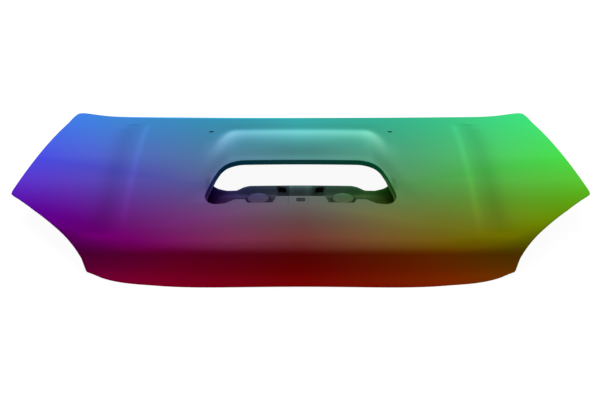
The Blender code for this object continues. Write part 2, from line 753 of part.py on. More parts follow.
def mastic_pad(name, x, y, skin_faces, frame_faces, look):
    """A drop of mastic that fills the gap between the frame's rim and the skin."""
    bm = bmesh.new()
    bmesh.ops.create_cone(bm, cap_ends=True, cap_tris=True, segments=12, radius1=MASTIC_DIAMETER / 2,
                          radius2=MASTIC_DIAMETER / 2, depth=1, matrix=Matrix.Translation((x, y, 0)))
    for vertex in bm.verts:
        between = skin_height(vertex.co.x, vertex.co.y) - (SKIN + RIM_GAP) / 2
        spot = Vector((vertex.co.x, vertex.co.y, between))
        if vertex.co.z > 0:
            vertex.co.z = skin_faces.ray_cast(spot, Vector((0, 0, 1)))[0].z - MASTIC_GAP
        else:
            vertex.co.z = frame_faces.ray_cast(spot, Vector((0, 0, -1)))[0].z + MASTIC_GAP
    add_object(name, mesh_from(bm, name), look)


def local_faces(piece):
    """A piece's finished faces in its own measure, for finding what lies over or under a point."""
    bpy.context.view_layer.update()
    return BVHTree.FromObject(piece, bpy.context.evaluated_depsgraph_get())


for old in list(bpy.data.objects):
    bpy.data.objects.remove(old)

parts = bpy.data.collections.new("car bonnet")
cutters = bpy.data.collections.new("cutters")
for group in (parts, cutters):
    bpy.context.scene.collection.children.link(group)
rest = bpy.data.objects.new("rest frame", None)
parts.objects.link(rest)

paint = material("faded paint", (0.22, 0.13, 0.14), 0.42, 0.0)
primer = material("frame paint", (0.11, 0.08, 0.085), 0.55, 0.0)
zinc = material("zinc plate", (0.55, 0.54, 0.50), 0.35, 1.0)
steel = material("bare steel", (0.40, 0.40, 0.41), 0.40, 1.0)
rubbery = material("mastic", (0.06, 0.06, 0.065), 0.85, 0.0)

# Outer panel
outer = add_object("outer_panel", mesh_from(make_skin(), "outer_panel"), paint)
add_mirror(outer)
add_sheet(outer, SKIN)
cuts = bmesh.new()
for side_x in (-JET_X, JET_X):
    place = Vector((side_x, JET_Y, skin_height(side_x, JET_Y)))
    cylinder(cuts, axes_at(place), JET_HOLE, -RIM_DEPTH, RIM_DEPTH)
slot_place = Vector((0, SLOT_Y, deck_height(0, SLOT_Y)))
box(cuts, axes_at(slot_place), (SLOT_WIDTH, SLOT_LENGTH), -RIM_DEPTH, RIM_DEPTH)
add_cut(outer, cutter(cuts, "skin holes"))
outer_faces = local_faces(outer)
corners = [vertex.co for vertex in outer.evaluated_get(bpy.context.evaluated_depsgraph_get()).data.vertices]
floor_z = min(corner.z for corner in corners)
middle_y = (min(corner.y for corner in corners) + max(corner.y for corner in corners)) / 2
rest.location = (0, -middle_y, -floor_z)

# Inner frame
inner = add_object("inner_panel", mesh_from(make_frame(floor_z), "inner_panel"), primer)
add_mirror(inner)
add_sheet(inner, FRAME_SHEET)
hinge_planes = {}
for side_name, sign in (("left", -1), ("right", 1)):
    place, normal = flat_pad(pad_corners(HINGE_PAD), REAR_CHANNEL_DEPTH)
    flip = Vector((sign, 1, 1))
    hinge_planes[side_name] = axes_at(place * flip, normal * flip)
stay_place, stay_normal = flat_pad(pad_corners(STAY_PAD), CHANNEL_DEPTH)
stay_plane = axes_at(stay_place * Vector((-1, 1, 1)), stay_normal * Vector((-1, 1, 1)))
striker_plane = axes_at(Vector((0, STRIKER_Y, STRIKER_PAD_Z)))
hinge_holes = [(0, -HINGE_HOLE_PITCH / 2), (0, HINGE_HOLE_PITCH / 2)]
striker_holes = [(-STRIKER_BOLT_PITCH / 2, 0), (STRIKER_BOLT_PITCH / 2, 0)]

cuts = bmesh.new()
outlines = [window_outline(area) for area in WINDOW_PLATEAUS.values()]
outlines += [[Vector((-p.x, p.y)) for p in reversed(outline)] for outline in outlines]
half, (low_y, high_y) = FRAME_OPENING_HALF, FRAME_OPENING_Y
outlines.append(rounded_outline([(Vector((x, y)), True) for x, y in (
    (-half, low_y), (half, low_y), (half, high_y), (-half, high_y))], WINDOW_RADIUS))
for outline in outlines:
    cuts.from_mesh(outline_prism(outline, "window"))
for plane in hinge_planes.values():
    for x, y in hinge_holes:
        cylinder(cuts, plane @ Matrix.Translation((x, y, 0)), BOLT_HOLE, -PLATE * 2, PLATE * 2)
for x, y in striker_holes:
    cylinder(cuts, striker_plane @ Matrix.Translation((x, y, 0)), BOLT_HOLE, -PLATE * 2, PLATE * 2)
cylinder(cuts, stay_plane, STAY_HOLE, -PLATE * 2, PLATE * 2)
for side_x in (-JET_ACCESS_X, JET_ACCESS_X):
    place = Vector((side_x, JET_Y, skin_height(side_x, JET_Y) - CHANNEL_DEPTH))
    cylinder(cuts, axes_at(place), JET_ACCESS_HOLE, -CHANNEL_DEPTH / 2, CHANNEL_DEPTH / 2)
add_cut(inner, cutter(cuts, "frame holes"))
holes = bmesh.new()
for x in (-COLLAR_HOLE_X, COLLAR_HOLE_X):
    place = Vector((x, OPENING_PLATEAU[2], deck_height(x, OPENING_PLATEAU[2]) - COLLAR_HOLE_DEPTH))
    box(holes, axes_at(place), (COLLAR_HOLE[0], CHANNEL_DEPTH), -COLLAR_HOLE[1] / 2, COLLAR_HOLE[1] / 2)
add_cut(inner, cutter(holes, "collar holes"))

# Hinge hardware, on the frame's rear pads
for side_name, plane in hinge_planes.items():
    seat = plane @ Matrix.Translation((0, 0, GAP))
    plate("hinge_reinforcement_" + side_name, seat, HINGE_PLATE, PLATE, hinge_holes, BOLT_HOLE, zinc)
    for place_name, (x, y) in zip(("front", "rear"), hinge_holes):
        seat = plane @ Matrix.Translation((x, y, 2 * GAP + PLATE))
        nut("hinge_nut_%s_%s" % (side_name, place_name), seat, zinc)

# Striker, bolted through the frame's front pad
above = striker_plane @ Matrix.Translation((0, 0, GAP))
plate("striker_reinforcement", above, STRIKER_REINFORCEMENT, PLATE, striker_holes, BOLT_HOLE, zinc)
plate_bottom = -FRAME_SHEET - GAP - STRIKER_PLATE_SHEET
below = striker_plane @ Matrix.Translation((0, 0, plate_bottom))
plate("striker_plate", below, STRIKER_PLATE, STRIKER_PLATE_SHEET, striker_holes, BOLT_HOLE, zinc)
striker_loop(STRIKER_PAD_Z + plate_bottom - GAP, steel)
nut_seat = 2 * GAP + PLATE
for side_name, (x, y) in zip(("left", "right"), striker_holes):
    nut("striker_nut_" + side_name, striker_plane @ Matrix.Translation((x, y, nut_seat)), zinc)
    head_seat = plate_bottom - GAP
    length = nut_seat + NUT_HEIGHT + BOLT_TIP - head_seat
    bolt("striker_bolt_" + side_name, striker_plane @ Matrix.Translation((x, y, head_seat)), length, zinc)

# Plate round the hole that the stay rod hooks into
plate("stay_reinforcement", stay_plane @ Matrix.Translation((0, 0, GAP)), STAY_PLATE, PLATE, [(0, 0)],
      STAY_HOLE, zinc)

# Mastic drops between the frame's rims and the skin
inner_faces = local_faces(inner)
number = 0
for column, row in MASTIC_PLACES:
    spot = plan_point(column, row)
    for sign in (-1, 1):
        number += 1
        mastic_pad("mastic_pad_%02d" % number, sign * spot.x, spot.y, outer_faces, inner_faces, rubbery)
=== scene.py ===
# %% [markdown]
# # A car bonnet, pressed from two sheets
# A bonnet is a thin painted skin with its edge folded round a second pressed sheet, the inner frame.
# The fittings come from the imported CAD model. The two sheets are made again here from the model's sizes,
# with a fine mesh, soft radii, a slightly deeper rim at the opening and lower front corners. Each surface
# gets a finish made from nodes.

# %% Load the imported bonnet
import math

import bmesh
import bpy
import numpy as np
from mathutils import Matrix, Vector


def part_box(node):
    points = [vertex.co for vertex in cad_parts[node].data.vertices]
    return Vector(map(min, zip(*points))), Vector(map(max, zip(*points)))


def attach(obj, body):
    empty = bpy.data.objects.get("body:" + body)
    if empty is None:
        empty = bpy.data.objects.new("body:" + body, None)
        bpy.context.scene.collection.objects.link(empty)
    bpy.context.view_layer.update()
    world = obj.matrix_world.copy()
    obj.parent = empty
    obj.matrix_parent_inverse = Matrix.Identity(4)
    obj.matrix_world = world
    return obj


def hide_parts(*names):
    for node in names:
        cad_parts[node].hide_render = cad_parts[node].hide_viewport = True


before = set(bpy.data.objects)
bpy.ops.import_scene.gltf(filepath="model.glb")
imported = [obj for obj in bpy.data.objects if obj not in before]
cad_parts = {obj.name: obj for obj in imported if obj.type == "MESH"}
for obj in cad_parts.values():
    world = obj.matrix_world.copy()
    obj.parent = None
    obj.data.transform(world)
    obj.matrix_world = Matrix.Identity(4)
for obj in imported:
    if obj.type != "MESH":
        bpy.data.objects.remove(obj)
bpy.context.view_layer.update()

# %% [markdown]
# ## Sizes
# These are the numbers of the pressed shapes, in metres. The shapes are worked out round the car's
# middle line at the height of the drawing, and REST then lifts them to where the bonnet lies on the floor.

# %% Sizes of the outline
REST = np.array((0.0, 0.00021848, 0.00556034))
SHOULDER = 0.44
FRONT_Y, REAR_Y = -0.519, 0.366
FRONT_CORNER = (0.503, -0.4582)
TIP = (0.7331, -0.1744)
CUT = [FRONT_CORNER, (0.513, -0.44), (0.5368, -0.412), (0.7144, -0.192), TIP]
WING_HALF, WING_STRAIGHT_Y = 0.684, 0.42
REAR_CORNER_Y = 0.5255
BEND = (-0.462, -0.418)
COLUMN_END = 0.672
HEM_RING = 0.014
SKIN_SHEET, FRAME_SHEET = 0.0008, 0.0007
DECK_TOP, DECK_TOP_Y, DECK_SAG = 0.105, -0.13, 0.225
CROWN_FRONT, CROWN_REAR = 0.0776, 0.049
NOSE_SLOPE, NOSE_SOFTNESS = 1.25, 0.013
CREASE_DROP, REAR_LIP_RISE, LOW_CORNER_DROP = 0.007, 0.0125, 0.0068
HUMP_RISE, HUMP_FRONT_Y, HUMP_CREST_Y, HUMP_HALF = 0.03797, -0.278, -0.10, 0.235
JET_X, JET_Y = 0.248, 0.1997
COLLAR_HOLE_X, COLLAR_Y = 0.046, -0.192
BOLT_HOLE_RADIUS = 0.0045
THROUGH = 0.012
print("outline", 2 * TIP[0], "wide at the tips,", 2 * FRONT_CORNER[0], "between the front corners")

# %% [markdown]
# ## The form of the skin
# A press tool is a smooth surface, so the skin is written as a height over the plan: a crowned deck, a
# nose that bends down, a shoulder crease on each side, and the hump behind the air opening. A formula
# gives as many points as the mesh needs, and it never shows a facet.

# %% Formulas of the skin
def smooth(value):
    """A soft step: 0 below 0, 1 above 1, and level at both ends."""
    value = np.clip(value, 0, 1)
    return value * value * (3 - 2 * value)


def side_half(y):
    """Half the bonnet's width at y: the cut corner in front of the tip, and the wing behind it."""
    cut = np.interp(y, [p[1] for p in CUT], [p[0] for p in CUT])
    bow = np.clip((WING_STRAIGHT_Y - y) / (WING_STRAIGHT_Y - TIP[1]), 0, 1)
    taper = np.maximum(0, (y - 0.41) / 0.1)
    wing = WING_HALF + (TIP[0] - WING_HALF) * bow ** 1.5 - 0.0135 * taper ** 1.5
    return np.where(y < TIP[1], cut, wing)


def plan(column, row):
    """Plan place of a grid crossing: column counts across the car, row along its middle."""
    column, row = np.broadcast_arrays(np.asarray(column, float), np.asarray(row, float))
    side_y = np.interp(row, [FRONT_Y, BEND[0], -0.25, REAR_Y],
                       [FRONT_CORNER[1], BEND[1], TIP[1], REAR_CORNER_Y])
    half = side_half(side_y)
    share = (column - SHOULDER) / (COLUMN_END - SHOULDER)
    x = np.where(column <= SHOULDER, column, SHOULDER + (half - 2.2 * HEM_RING - SHOULDER) * share)
    x = np.where(column >= COLUMN_END, half, x)
    bow = 4.6 - 2.5 * np.clip((row - FRONT_Y) / (REAR_Y - FRONT_Y), 0, 1)
    return np.stack([x, row + (side_y - row) * (x / half) ** bow], -1)


def deck_z(x, y):
    """Height of the skin without its hump: the crown, the nose bend, the crease, the lip and the corner."""
    x = np.abs(x)
    back = (y - FRONT_Y) / (-2 * FRONT_Y)
    crown = CROWN_FRONT * (1 - back) + CROWN_REAR * back
    z = DECK_TOP - DECK_SAG * (y - DECK_TOP_Y) ** 2 - crown * x * x
    bend = BEND[0] + (BEND[1] - BEND[0]) * np.clip(x / FRONT_CORNER[0], 0, 1.3) ** 5
    z = z - NOSE_SLOPE * NOSE_SOFTNESS * np.log1p(np.exp(np.clip((bend - y) / NOSE_SOFTNESS, -40, 40)))
    crease = smooth((x - SHOULDER) / 0.06) * (1 - smooth((x - SHOULDER - 0.06) / 0.13))
    crease = crease * (1 - smooth((y - 0.30) / 0.03)) * smooth((y + 0.42) / 0.15)
    lip = np.exp(-((x - 0.68) / 0.09) ** 2) * smooth((y - 0.40) / 0.12)
    low_corner = smooth((x - 0.33) / 0.13) * smooth((-0.41 - y) / 0.05)
    return z - CREASE_DROP * crease + REAR_LIP_RISE * lip - LOW_CORNER_DROP * low_corner


def hump_z(x, y):
    """What the hump adds: it climbs straight over the opening and falls softly at its rear and sides."""
    climb = np.clip((y - HUMP_FRONT_Y) / (HUMP_CREST_Y - HUMP_FRONT_Y), 0, 1)
    rise = np.where(y < HUMP_CREST_Y, climb, 1 - smooth((y - 0.02) / 0.26))
    return HUMP_RISE * rise * (1 - smooth((np.abs(x) - HUMP_HALF + 0.06 * climb) / 0.075))


def skin_z(x, y):
    return deck_z(x, y) + hump_z(x, y)


def under_skin(xy, depth, height=skin_z):
    """Points that lie depth below the skin, along its normal."""
    x, y, step = xy[..., 0], xy[..., 1], 0.0004
    slope_x = (height(x + step, y) - height(x - step, y)) / (2 * step)
    slope_y = (height(x, y + step) - height(x, y - step)) / (2 * step)
    normal = np.stack([-slope_x, -slope_y, np.ones_like(slope_x)], -1)
    normal /= np.linalg.norm(normal, axis=-1, keepdims=True)
    return np.stack([x, y, height(x, y)], -1) - normal * np.asarray(depth)[..., None]


print("hump's top", round(float(skin_z(0.0, HUMP_CREST_Y) + REST[2]), 4))

# %% [markdown]
# ## A net over half a panel
# Both sheets use one kind of net: a grid inside, and a ring 14 mm wide that follows the edge round its
# two rounded corners. The hem and the frame's flange are swept along that ring, so they keep one
# section all the way round, as a hemming die leaves them.

# %% Helpers for the net
def refine(lines, step):
    """The lines, with even steps of about the given length between them."""
    fine = [lines[0]]
    for low, high in zip(lines, lines[1:]):
        count = max(1, round((high - low) / step))
        fine += [low + (high - low) * (k + 1) / count for k in range(count)]
    return np.array(fine)


def unit(vector):
    return vector / np.linalg.norm(vector, axis=-1, keepdims=True)


def left_of(direction):
    """The direction turned a quarter to its left, which points into the panel along its edge."""
    return np.stack([-direction[..., 1], direction[..., 0]], -1)


def offset_inwards(line, distance):
    run = np.gradient(line, axis=0)
    return line + left_of(unit(run)) * distance


def mitred(line, distance):
    """The line moved to its left by distance, with its corners kept; its ends are dropped."""
    sides = left_of(unit(np.diff(line, axis=0)))
    before, after = sides[:-1], sides[1:]
    return line[1:-1] + (before + after) * distance / (1 + (before * after).sum(-1, keepdims=True))


def corner(before, point, after):
    """The middle of a corner's arc and the two directions that point into the panel."""
    first, second = left_of(unit(point - before)), left_of(unit(after - point))
    return point + (first + second) * HEM_RING / (1 + first @ second), first, second


def arc(centre, first, second, steps):
    """The round of a corner, from where its first side ends to where its second side starts."""
    start = math.atan2(-first[1], -first[0])
    turn = (math.atan2(-second[1], -second[0]) - start) % (2 * math.pi)
    angles = start + turn * np.arange(steps + 1) / steps
    return centre + HEM_RING * np.stack([np.cos(angles), np.sin(angles)], -1)


def blend(start, end, shares):
    return start + (end - start) * np.asarray(shares)[:, None]


def relaxed(line, passes=3):
    """The line with its small kinks averaged out."""
    for _ in range(passes):
        line[1:-1] = (line[:-2] + 2 * line[1:-1] + line[2:]) / 4
    return line


SIDE_ROWS = [-.488, -.472, -.460, -.446, -.412, -.398, -.370, -.322, -.280, -.250, -.212, -.192, -.130,
             -.052, -.040, .015, .072, .130, .188, .244, .300, .332]


def panel_net(columns, rows, across=5, front=3, rear=3, turns=6):
    """The grid up to the ring, and the ring's edge line and inner line, which run counter-clockwise."""
    inside = plan(columns[:, None], rows[None, :])
    edges = {"front": plan(columns, FRONT_Y), "side": relaxed(plan(COLUMN_END, rows)),
             "rear": plan(columns, REAR_Y)}
    low, low_first, low_second = corner(plan(SHOULDER, FRONT_Y), plan(COLUMN_END, FRONT_Y), edges["side"][0])
    high, high_first, high_second = corner(edges["side"][-1], plan(COLUMN_END, REAR_Y), plan(0.655, REAR_Y))
    ring = {"front": offset_inwards(edges["front"], HEM_RING),
            "rear": offset_inwards(edges["rear"][::-1], HEM_RING)[::-1]}
    feet = [low - low_second * HEM_RING, high - high_first * HEM_RING]
    side = mitred(np.concatenate([feet[:1], plan(COLUMN_END, SIDE_ROWS), feet[1:]]), HEM_RING)
    ring["side"] = np.stack([np.interp(rows, SIDE_ROWS, side[:, axis]) for axis in (0, 1)], -1)
    for name in ("front", "rear"):
        ring[name][0, 0] = 0.0
    steps = {"across": np.arange(1, across + 1) / across, "front": np.arange(front + 1)[:-1] / front,
             "rear": np.arange(1, rear + 1) / rear}
    n, m = len(columns), len(rows)
    grid = np.zeros((n + across, m + front + rear, 2))
    grid[:n, front:front + m] = inside
    for k, share in enumerate(steps["front"]):
        grid[:n, k] = ring["front"] + (inside[:, 0] - ring["front"]) * share
        grid[n:, k] = blend(grid[n - 1, k], low + (ring["side"][0] - low) * share, steps["across"])
    for k, share in enumerate(steps["rear"]):
        grid[:n, front + m + k] = inside[:, -1] + (ring["rear"] - inside[:, -1]) * share
        outer_end = ring["side"][-1] + (high - ring["side"][-1]) * share
        grid[n:, front + m + k] = blend(grid[n - 1, front + m + k], outer_end, steps["across"])
    for k, share in enumerate(steps["across"]):
        grid[n + k, front:front + m] = inside[-1] + (ring["side"] - inside[-1]) * share
    low_arc, high_arc = arc(low, low_first, low_second, turns), arc(high, high_first, high_second, turns)
    edge = np.concatenate([
        edges["front"], blend(edges["front"][-1], low_arc[0], steps["across"]), low_arc[1:],
        blend(low_arc[-1], edges["side"][0], np.arange(1, front + 1) / front), edges["side"][1:],
        blend(edges["side"][-1], high_arc[0], steps["rear"]), high_arc[1:],
        blend(high_arc[-1], edges["rear"][-1], np.arange(1, across + 1) / across), edges["rear"][-2::-1]])
    inner = np.concatenate([
        grid[:, 0], np.repeat(grid[-1:, 0], turns, 0), grid[-1, 1:], np.repeat(grid[-1:, -1], turns, 0),
        grid[-2::-1, -1]])
    return grid, edge, inner


def grid_faces(index):
    return np.stack([index[:-1, :-1], index[1:, :-1], index[1:, 1:], index[:-1, 1:]], -1).reshape(-1, 4)


def both_halves(name, blocks, drop_under=0.00002):
    """One mesh from blocks of points and quads of the right half, with the left half mirrored on."""
    points, faces, start = [], [], 0
    for block_points, block_faces in blocks:
        points.append(block_points.reshape(-1, 3))
        faces.append(block_faces + start)
        start += len(points[-1])
    points, faces = np.concatenate(points), np.concatenate(faces)
    points[np.abs(points[:, 0]) < drop_under, 0] = 0.0
    mirrored = points * (-1, 1, 1)
    everything = np.concatenate([points, mirrored]) + REST
    quads = np.concatenate([faces, faces[:, ::-1] + len(points)])
    mesh = bpy.data.meshes.new(name)
    mesh.from_pydata(everything.tolist(), [], quads.tolist())
    bm = bmesh.new()
    bm.from_mesh(mesh)
    bmesh.ops.remove_doubles(bm, verts=bm.verts, dist=0.00001)
    bmesh.ops.dissolve_degenerate(bm, edges=bm.edges, dist=0.00001)
    bm.to_mesh(mesh)
    bm.free()
    return mesh


def strips(chains):
    """Blocks of quads between chains of points, from one to the next."""
    stack = np.stack(chains, 0)
    index = np.arange(stack.shape[0] * stack.shape[1]).reshape(stack.shape[:2])
    return stack, grid_faces(index)


# %% [markdown]
# ## The air opening
# The skin is cut and turned down behind and beside the opening, and left as flat tongues in front of
# it, where they lie over the frame's collar. The edge is one curve with a number that runs from the
# front's middle round to the rear's middle, and the rings of the mesh shrink on to it.

# %% The opening's edge and its rings
HOLE_REAR_Y, HOLE_FRONT_Y = -0.1205, -0.2845


def fillet(before, point, after, radius, count):
    """The points of an arc that rounds off the corner at point."""
    first, second = unit(before - point), unit(after - point)
    half_angle = math.acos(first @ second) / 2
    centre = point + unit(first + second) * radius / math.sin(half_angle)
    start, end = (point + side * radius / math.tan(half_angle) - centre for side in (first, second))
    turn = math.atan2(start[0] * end[1] - start[1] * end[0], start @ end)
    base = math.atan2(start[1], start[0])
    angles = base + turn * np.linspace(0, 1, count)
    return centre + radius * np.stack([np.cos(angles), np.sin(angles)], -1)


front_point, rear_point = np.array((0.2435, HOLE_FRONT_Y)), np.array((0.2005, HOLE_REAR_Y))
front_arc = fillet(np.array((0, HOLE_FRONT_Y)), front_point, rear_point, 0.034, 81)
rear_arc = fillet(front_point, rear_point, np.array((0, HOLE_REAR_Y)), 0.078, 81)


def hole_edge(number):
    """The opening's edge at a number from 0, the front's middle, to 21, the rear's middle."""
    spots = [0, 1, 2, 3, 4, 5, 6] + list(np.linspace(7, 11, 81)) + list(np.linspace(13, 17, 81)) + [21]
    xs = [0, 0.03, 0.06, 0.072, 0.128, 0.142, 0.16] + list(front_arc[:, 0]) + list(rear_arc[:, 0]) + [0]
    ys = [HOLE_FRONT_Y] * 7 + list(front_arc[:, 1]) + list(rear_arc[:, 1]) + [HOLE_REAR_Y]
    return np.stack([np.interp(number, spots, xs), np.interp(number, spots, ys)], -1)


def tongue_reach(x):
    """How far the skin reaches into the opening from its front edge: the middle tongue and a small one."""
    middle = 0.0306 * (1 - smooth((x - 0.0585) / 0.011))
    small = 0.0176 * smooth((x - 0.128) / 0.011) * (1 - smooth((x - 0.163) / 0.011))
    return 0.0024 + middle + small


def opening_blocks(block, numbers, depth=0.0130):
    """The quads from the block's border to the opening's edge, and the wall that is turned down there."""
    beside = (smooth((numbers - 6.5) / 1.5) * smooth((15.5 - numbers) / 3.0))[:, None]
    radius = 0.0022 + 0.0036 * beside
    edge = hole_edge(numbers)
    inwards = left_of(unit(np.gradient(edge, axis=0)))
    inwards[[0, -1], 0] = 0.0
    front = smooth((7.0 - numbers) / 0.6)
    reach = tongue_reach(edge[:, 0]) * front
    lip = edge + inwards * reach[:, None]
    start = lip - inwards * radius

    def height(x, y):
        inside = (y > HOLE_FRONT_Y) & (np.abs(x) < 0.2) & (y < -0.24)
        return np.where(inside, deck_z(x, y), skin_z(x, y))

    chains = []
    for share in (0, .12, .24, .36, .47, .57, .66, .74, .81, .87, .92, .96, .985, 1):
        flat = block + (start - block) * share
        chains.append(np.stack([flat[:, 0], flat[:, 1], height(flat[:, 0], flat[:, 1])], -1))
    top = chains[-1]
    into = np.concatenate([inwards, np.zeros((len(inwards), 1))], -1)
    down = np.array((0, 0, -1.0))
    for angle in np.radians((22, 45, 68, 90)):
        chains.append(top + into * radius * math.sin(angle) + down * radius * (1 - math.cos(angle)))
    full = np.where(front > 0.5, 0.0032, depth)[:, None]
    lean = 0.002 * (1 - front[:, None]) + 0.0022 * beside
    for share in (0.4, 1.0):
        chains.append(top + into * (radius + share * lean) + down * (radius + (full - radius) * share))
    stack, faces = strips(chains)
    return stack, faces[:, ::-1]


# %% [markdown]
# ## Thickness, holes and sharp edges
# A sheet starts as a surface without thickness. One helper gives it its thickness, cuts its holes and
# marks its sharp edges, and the others draw the outlines of the cuts and turn them square to the skin.

# %% Helpers for pieces and holes
def finished(name, mesh, thickness=None, cut_by=(), sharp=35, solver='EXACT'):
    """A plain mesh with its sheet thickness and its holes, shaded smooth except at sharp edges."""
    piece = bpy.data.objects.new(name, mesh)
    bpy.context.scene.collection.objects.link(piece)
    if thickness:
        sheet = piece.modifiers.new("sheet", 'SOLIDIFY')
        sheet.thickness, sheet.offset = thickness, -1
    for prism in cut_by:
        cut = piece.modifiers.new("holes", 'BOOLEAN')
        cut.object, cut.operation, cut.solver = prism, 'DIFFERENCE', solver
    bpy.context.view_layer.update()
    done = bpy.data.meshes.new_from_object(piece.evaluated_get(bpy.context.evaluated_depsgraph_get()))
    piece.modifiers.clear()
    piece.data = done
    done.name = name
    done.shade_smooth()
    done.set_sharp_from_angle(angle=math.radians(sharp))
    for prism in cut_by:
        bpy.data.objects.remove(prism)
    print(name, "triangles", sum(len(face.vertices) - 2 for face in done.polygons))
    return piece


def prisms(name, outlines):
    """One object of closed prisms; each outline is a matrix, a list of points and two heights."""
    bm = bmesh.new()
    for matrix, outline, low, high in outlines:
        rings = [[bm.verts.new(matrix @ Vector((x, y, z))) for x, y in outline] for z in (low, high)]
        count = len(outline)
        bm.faces.new(rings[0][::-1])
        bm.faces.new(rings[1])
        for k in range(count):
            bm.faces.new((rings[0][k], rings[0][(k + 1) % count], rings[1][(k + 1) % count], rings[1][k]))
    bmesh.ops.recalc_face_normals(bm, faces=bm.faces)
    mesh = bpy.data.meshes.new(name)
    bm.to_mesh(mesh)
    bm.free()
    piece = bpy.data.objects.new(name, mesh)
    bpy.context.scene.collection.objects.link(piece)
    return piece


def circle(radius, count=32):
    angles = [2 * math.pi * k / count for k in range(count)]
    return [(radius * math.cos(angle), radius * math.sin(angle)) for angle in angles]


def rounded_box(width, length, radius, steps=5):
    """The outline of a rectangle about the origin with rounded corners."""
    points = []
    for sx, sy, start in ((1, -1, -90), (1, 1, 0), (-1, 1, 90), (-1, -1, 180)):
        for k in range(steps + 1):
            angle = math.radians(start + 90 * k / steps)
            points.append((sx * (width / 2 - radius) + radius * math.cos(angle),
                           sy * (length / 2 - radius) + radius * math.sin(angle)))
    return points


def on_surface(x, y, depth=0.0, height=skin_z):
    """A matrix on the skin at x, y, with Z along the skin's normal and Y to the rear."""
    place = under_skin(np.array((x, y)), depth, height) + REST
    up = Vector((under_skin(np.array((x, y)), -1.0, height) + REST - place)).normalized()
    side = Vector((0, 1, 0)).cross(up).normalized()
    return Matrix.Translation(place) @ Matrix((side, up.cross(side), up)).transposed().to_4x4()


# %% [markdown]
# ## The outer skin
# The grid is finer over the nose bend and the opening, where the light turns quickly. The hem is a
# half round fold and a flat flange under it. Solidify then gives the sheet its 0.8 mm.

# %% Make the skin
SKIN_COLUMNS = [0, .030, .072, .100, .142, .185, .228, .256, .298, .365, .442, .485, .497, .570, .643]
FINE, WIDE = 0.0045, 0.0085
BLOCK_COLUMN, BLOCK_ROWS = 0.256, (-0.322, -0.040)
HEM_FOLD = 0.00165

fine_columns = np.concatenate([refine(SKIN_COLUMNS[:8], FINE), refine(SKIN_COLUMNS[7:], WIDE)[1:]])
fine_rows = np.concatenate([refine(SIDE_ROWS[:6], FINE), refine(SIDE_ROWS[5:], WIDE)[1:]])
grid, edge, inner_line = panel_net(fine_columns, fine_rows)
front_rows = 3
right = int(np.argmin(np.abs(fine_columns - BLOCK_COLUMN)))
low, high = (int(np.argmin(np.abs(fine_rows - row))) + front_rows for row in BLOCK_ROWS)
index = np.arange(grid.shape[0] * grid.shape[1]).reshape(grid.shape[:2])
faces = np.concatenate([grid_faces(index[right:, low:high + 1]), grid_faces(index[:, :low + 1]),
                        grid_faces(index[:, high:])])
top = np.concatenate([grid, skin_z(grid[..., 0], grid[..., 1])[..., None]], -1)

columns_of_block = [int(np.argmin(np.abs(fine_columns - c))) for c in SKIN_COLUMNS[:8]]
rows_of_block = [int(np.argmin(np.abs(fine_rows - r))) for r in SIDE_ROWS[7:15]]
up_numbers = np.interp(np.arange(right + 1), columns_of_block, range(8))
side_numbers = np.interp(np.arange(rows_of_block[0], rows_of_block[-1] + 1), rows_of_block, range(7, 15))
back_numbers = np.interp(np.arange(right, -1, -1), columns_of_block, range(21, 13, -1))
block = np.concatenate([grid[:right, low], grid[right, low:high], grid[right::-1, high]])
numbers = np.concatenate([up_numbers[:-1], side_numbers[:-1], back_numbers])

section = [(HEM_RING, 0), (.011, 0), (.0085, 0), (.006, 0), (.004, 0), (.0027, 0)]
section += [(HEM_FOLD - HEM_FOLD * math.sin(angle), HEM_FOLD - HEM_FOLD * math.cos(angle))
            for angle in np.radians(np.arange(0, 181, 20))]
section += [(.0035, 2 * HEM_FOLD), (.007, 2 * HEM_FOLD), (.011, 2 * HEM_FOLD)]
hem = [under_skin(edge + (inner_line - edge) * distance / HEM_RING, np.full(len(edge), depth))
       for distance, depth in section]
outer_mesh = both_halves("outer_skin", [(top, faces), opening_blocks(block, numbers), strips(hem)])
jet_hole, tongue_slot = circle(0.00475), rounded_box(0.022, 0.018, 0.0025)
skin_cuts = [(on_surface(side * JET_X, JET_Y), jet_hole, -THROUGH, THROUGH) for side in (-1, 1)]
skin_cuts.append((on_surface(0, -0.271, 0, deck_z), tongue_slot, -THROUGH, THROUGH))
outer = finished("outer_skin", outer_mesh, thickness=SKIN_SHEET, cut_by=[prisms("skin_cuts", skin_cuts)])

# %% [markdown]
# ## The inner frame
# The frame is one sheet pressed into channels round raised rims. Its form is a net of heights, one for
# each crossing of a few lines, and a soft ramp between them: every line's share is averaged over a few
# millimetres, which rounds each bend as a press does. Two matrices of shares do that for all points.

# %% Heights of the frame
FRAME_COLUMNS = [0, .030, .050, .072, .100, .128, .142, .160, .185, .228, .241, .256, .285, .298, .365,
                 .430, .442, .485, .497, .570, .643, .655]
FRAME_ROWS = [-.488, -.472, -.460, -.446, -.412, -.398, -.370, -.322, -.308, -.280, -.250, -.212, -.200,
              -.192, -.130, -.052, -.040, .015, .028, .072, .130, .188, .231, .244, .300, .332]
WINDOWS = [(.050, .228, -.398, -.322), (.050, .228, .028, .231), (.298, .430, -.398, -.052),
           (.298, .430, .028, .231), (.497, .643, -.280, -.052), (.497, .643, .028, .231)]
OPENING_FLOOR = (-.241, .241, -.192, -.052)
HINGE_PAD, STAY_PAD = (.570, .643, .244, .300), (.442, .485, -.250, -.212)
PAD_MIDDLE = np.array((0.105, -0.230))
LOWEST_Z, NOSE_CHANNEL_Z = -0.00086, 0.047
RIM_DEPTH, HINGE_DEPTH, CHANNEL_DEPTH, BESIDE_OPENING = 0.005, 0.021, 0.025, 0.015
SEAT_RISE, SEAT_DISH = 0.0085, 0.0015
FLANGE_DEPTH = 0.0013
COLLAR_DIP = {.142: 0.0035, .160: 0.0128, .185: 0.0128}


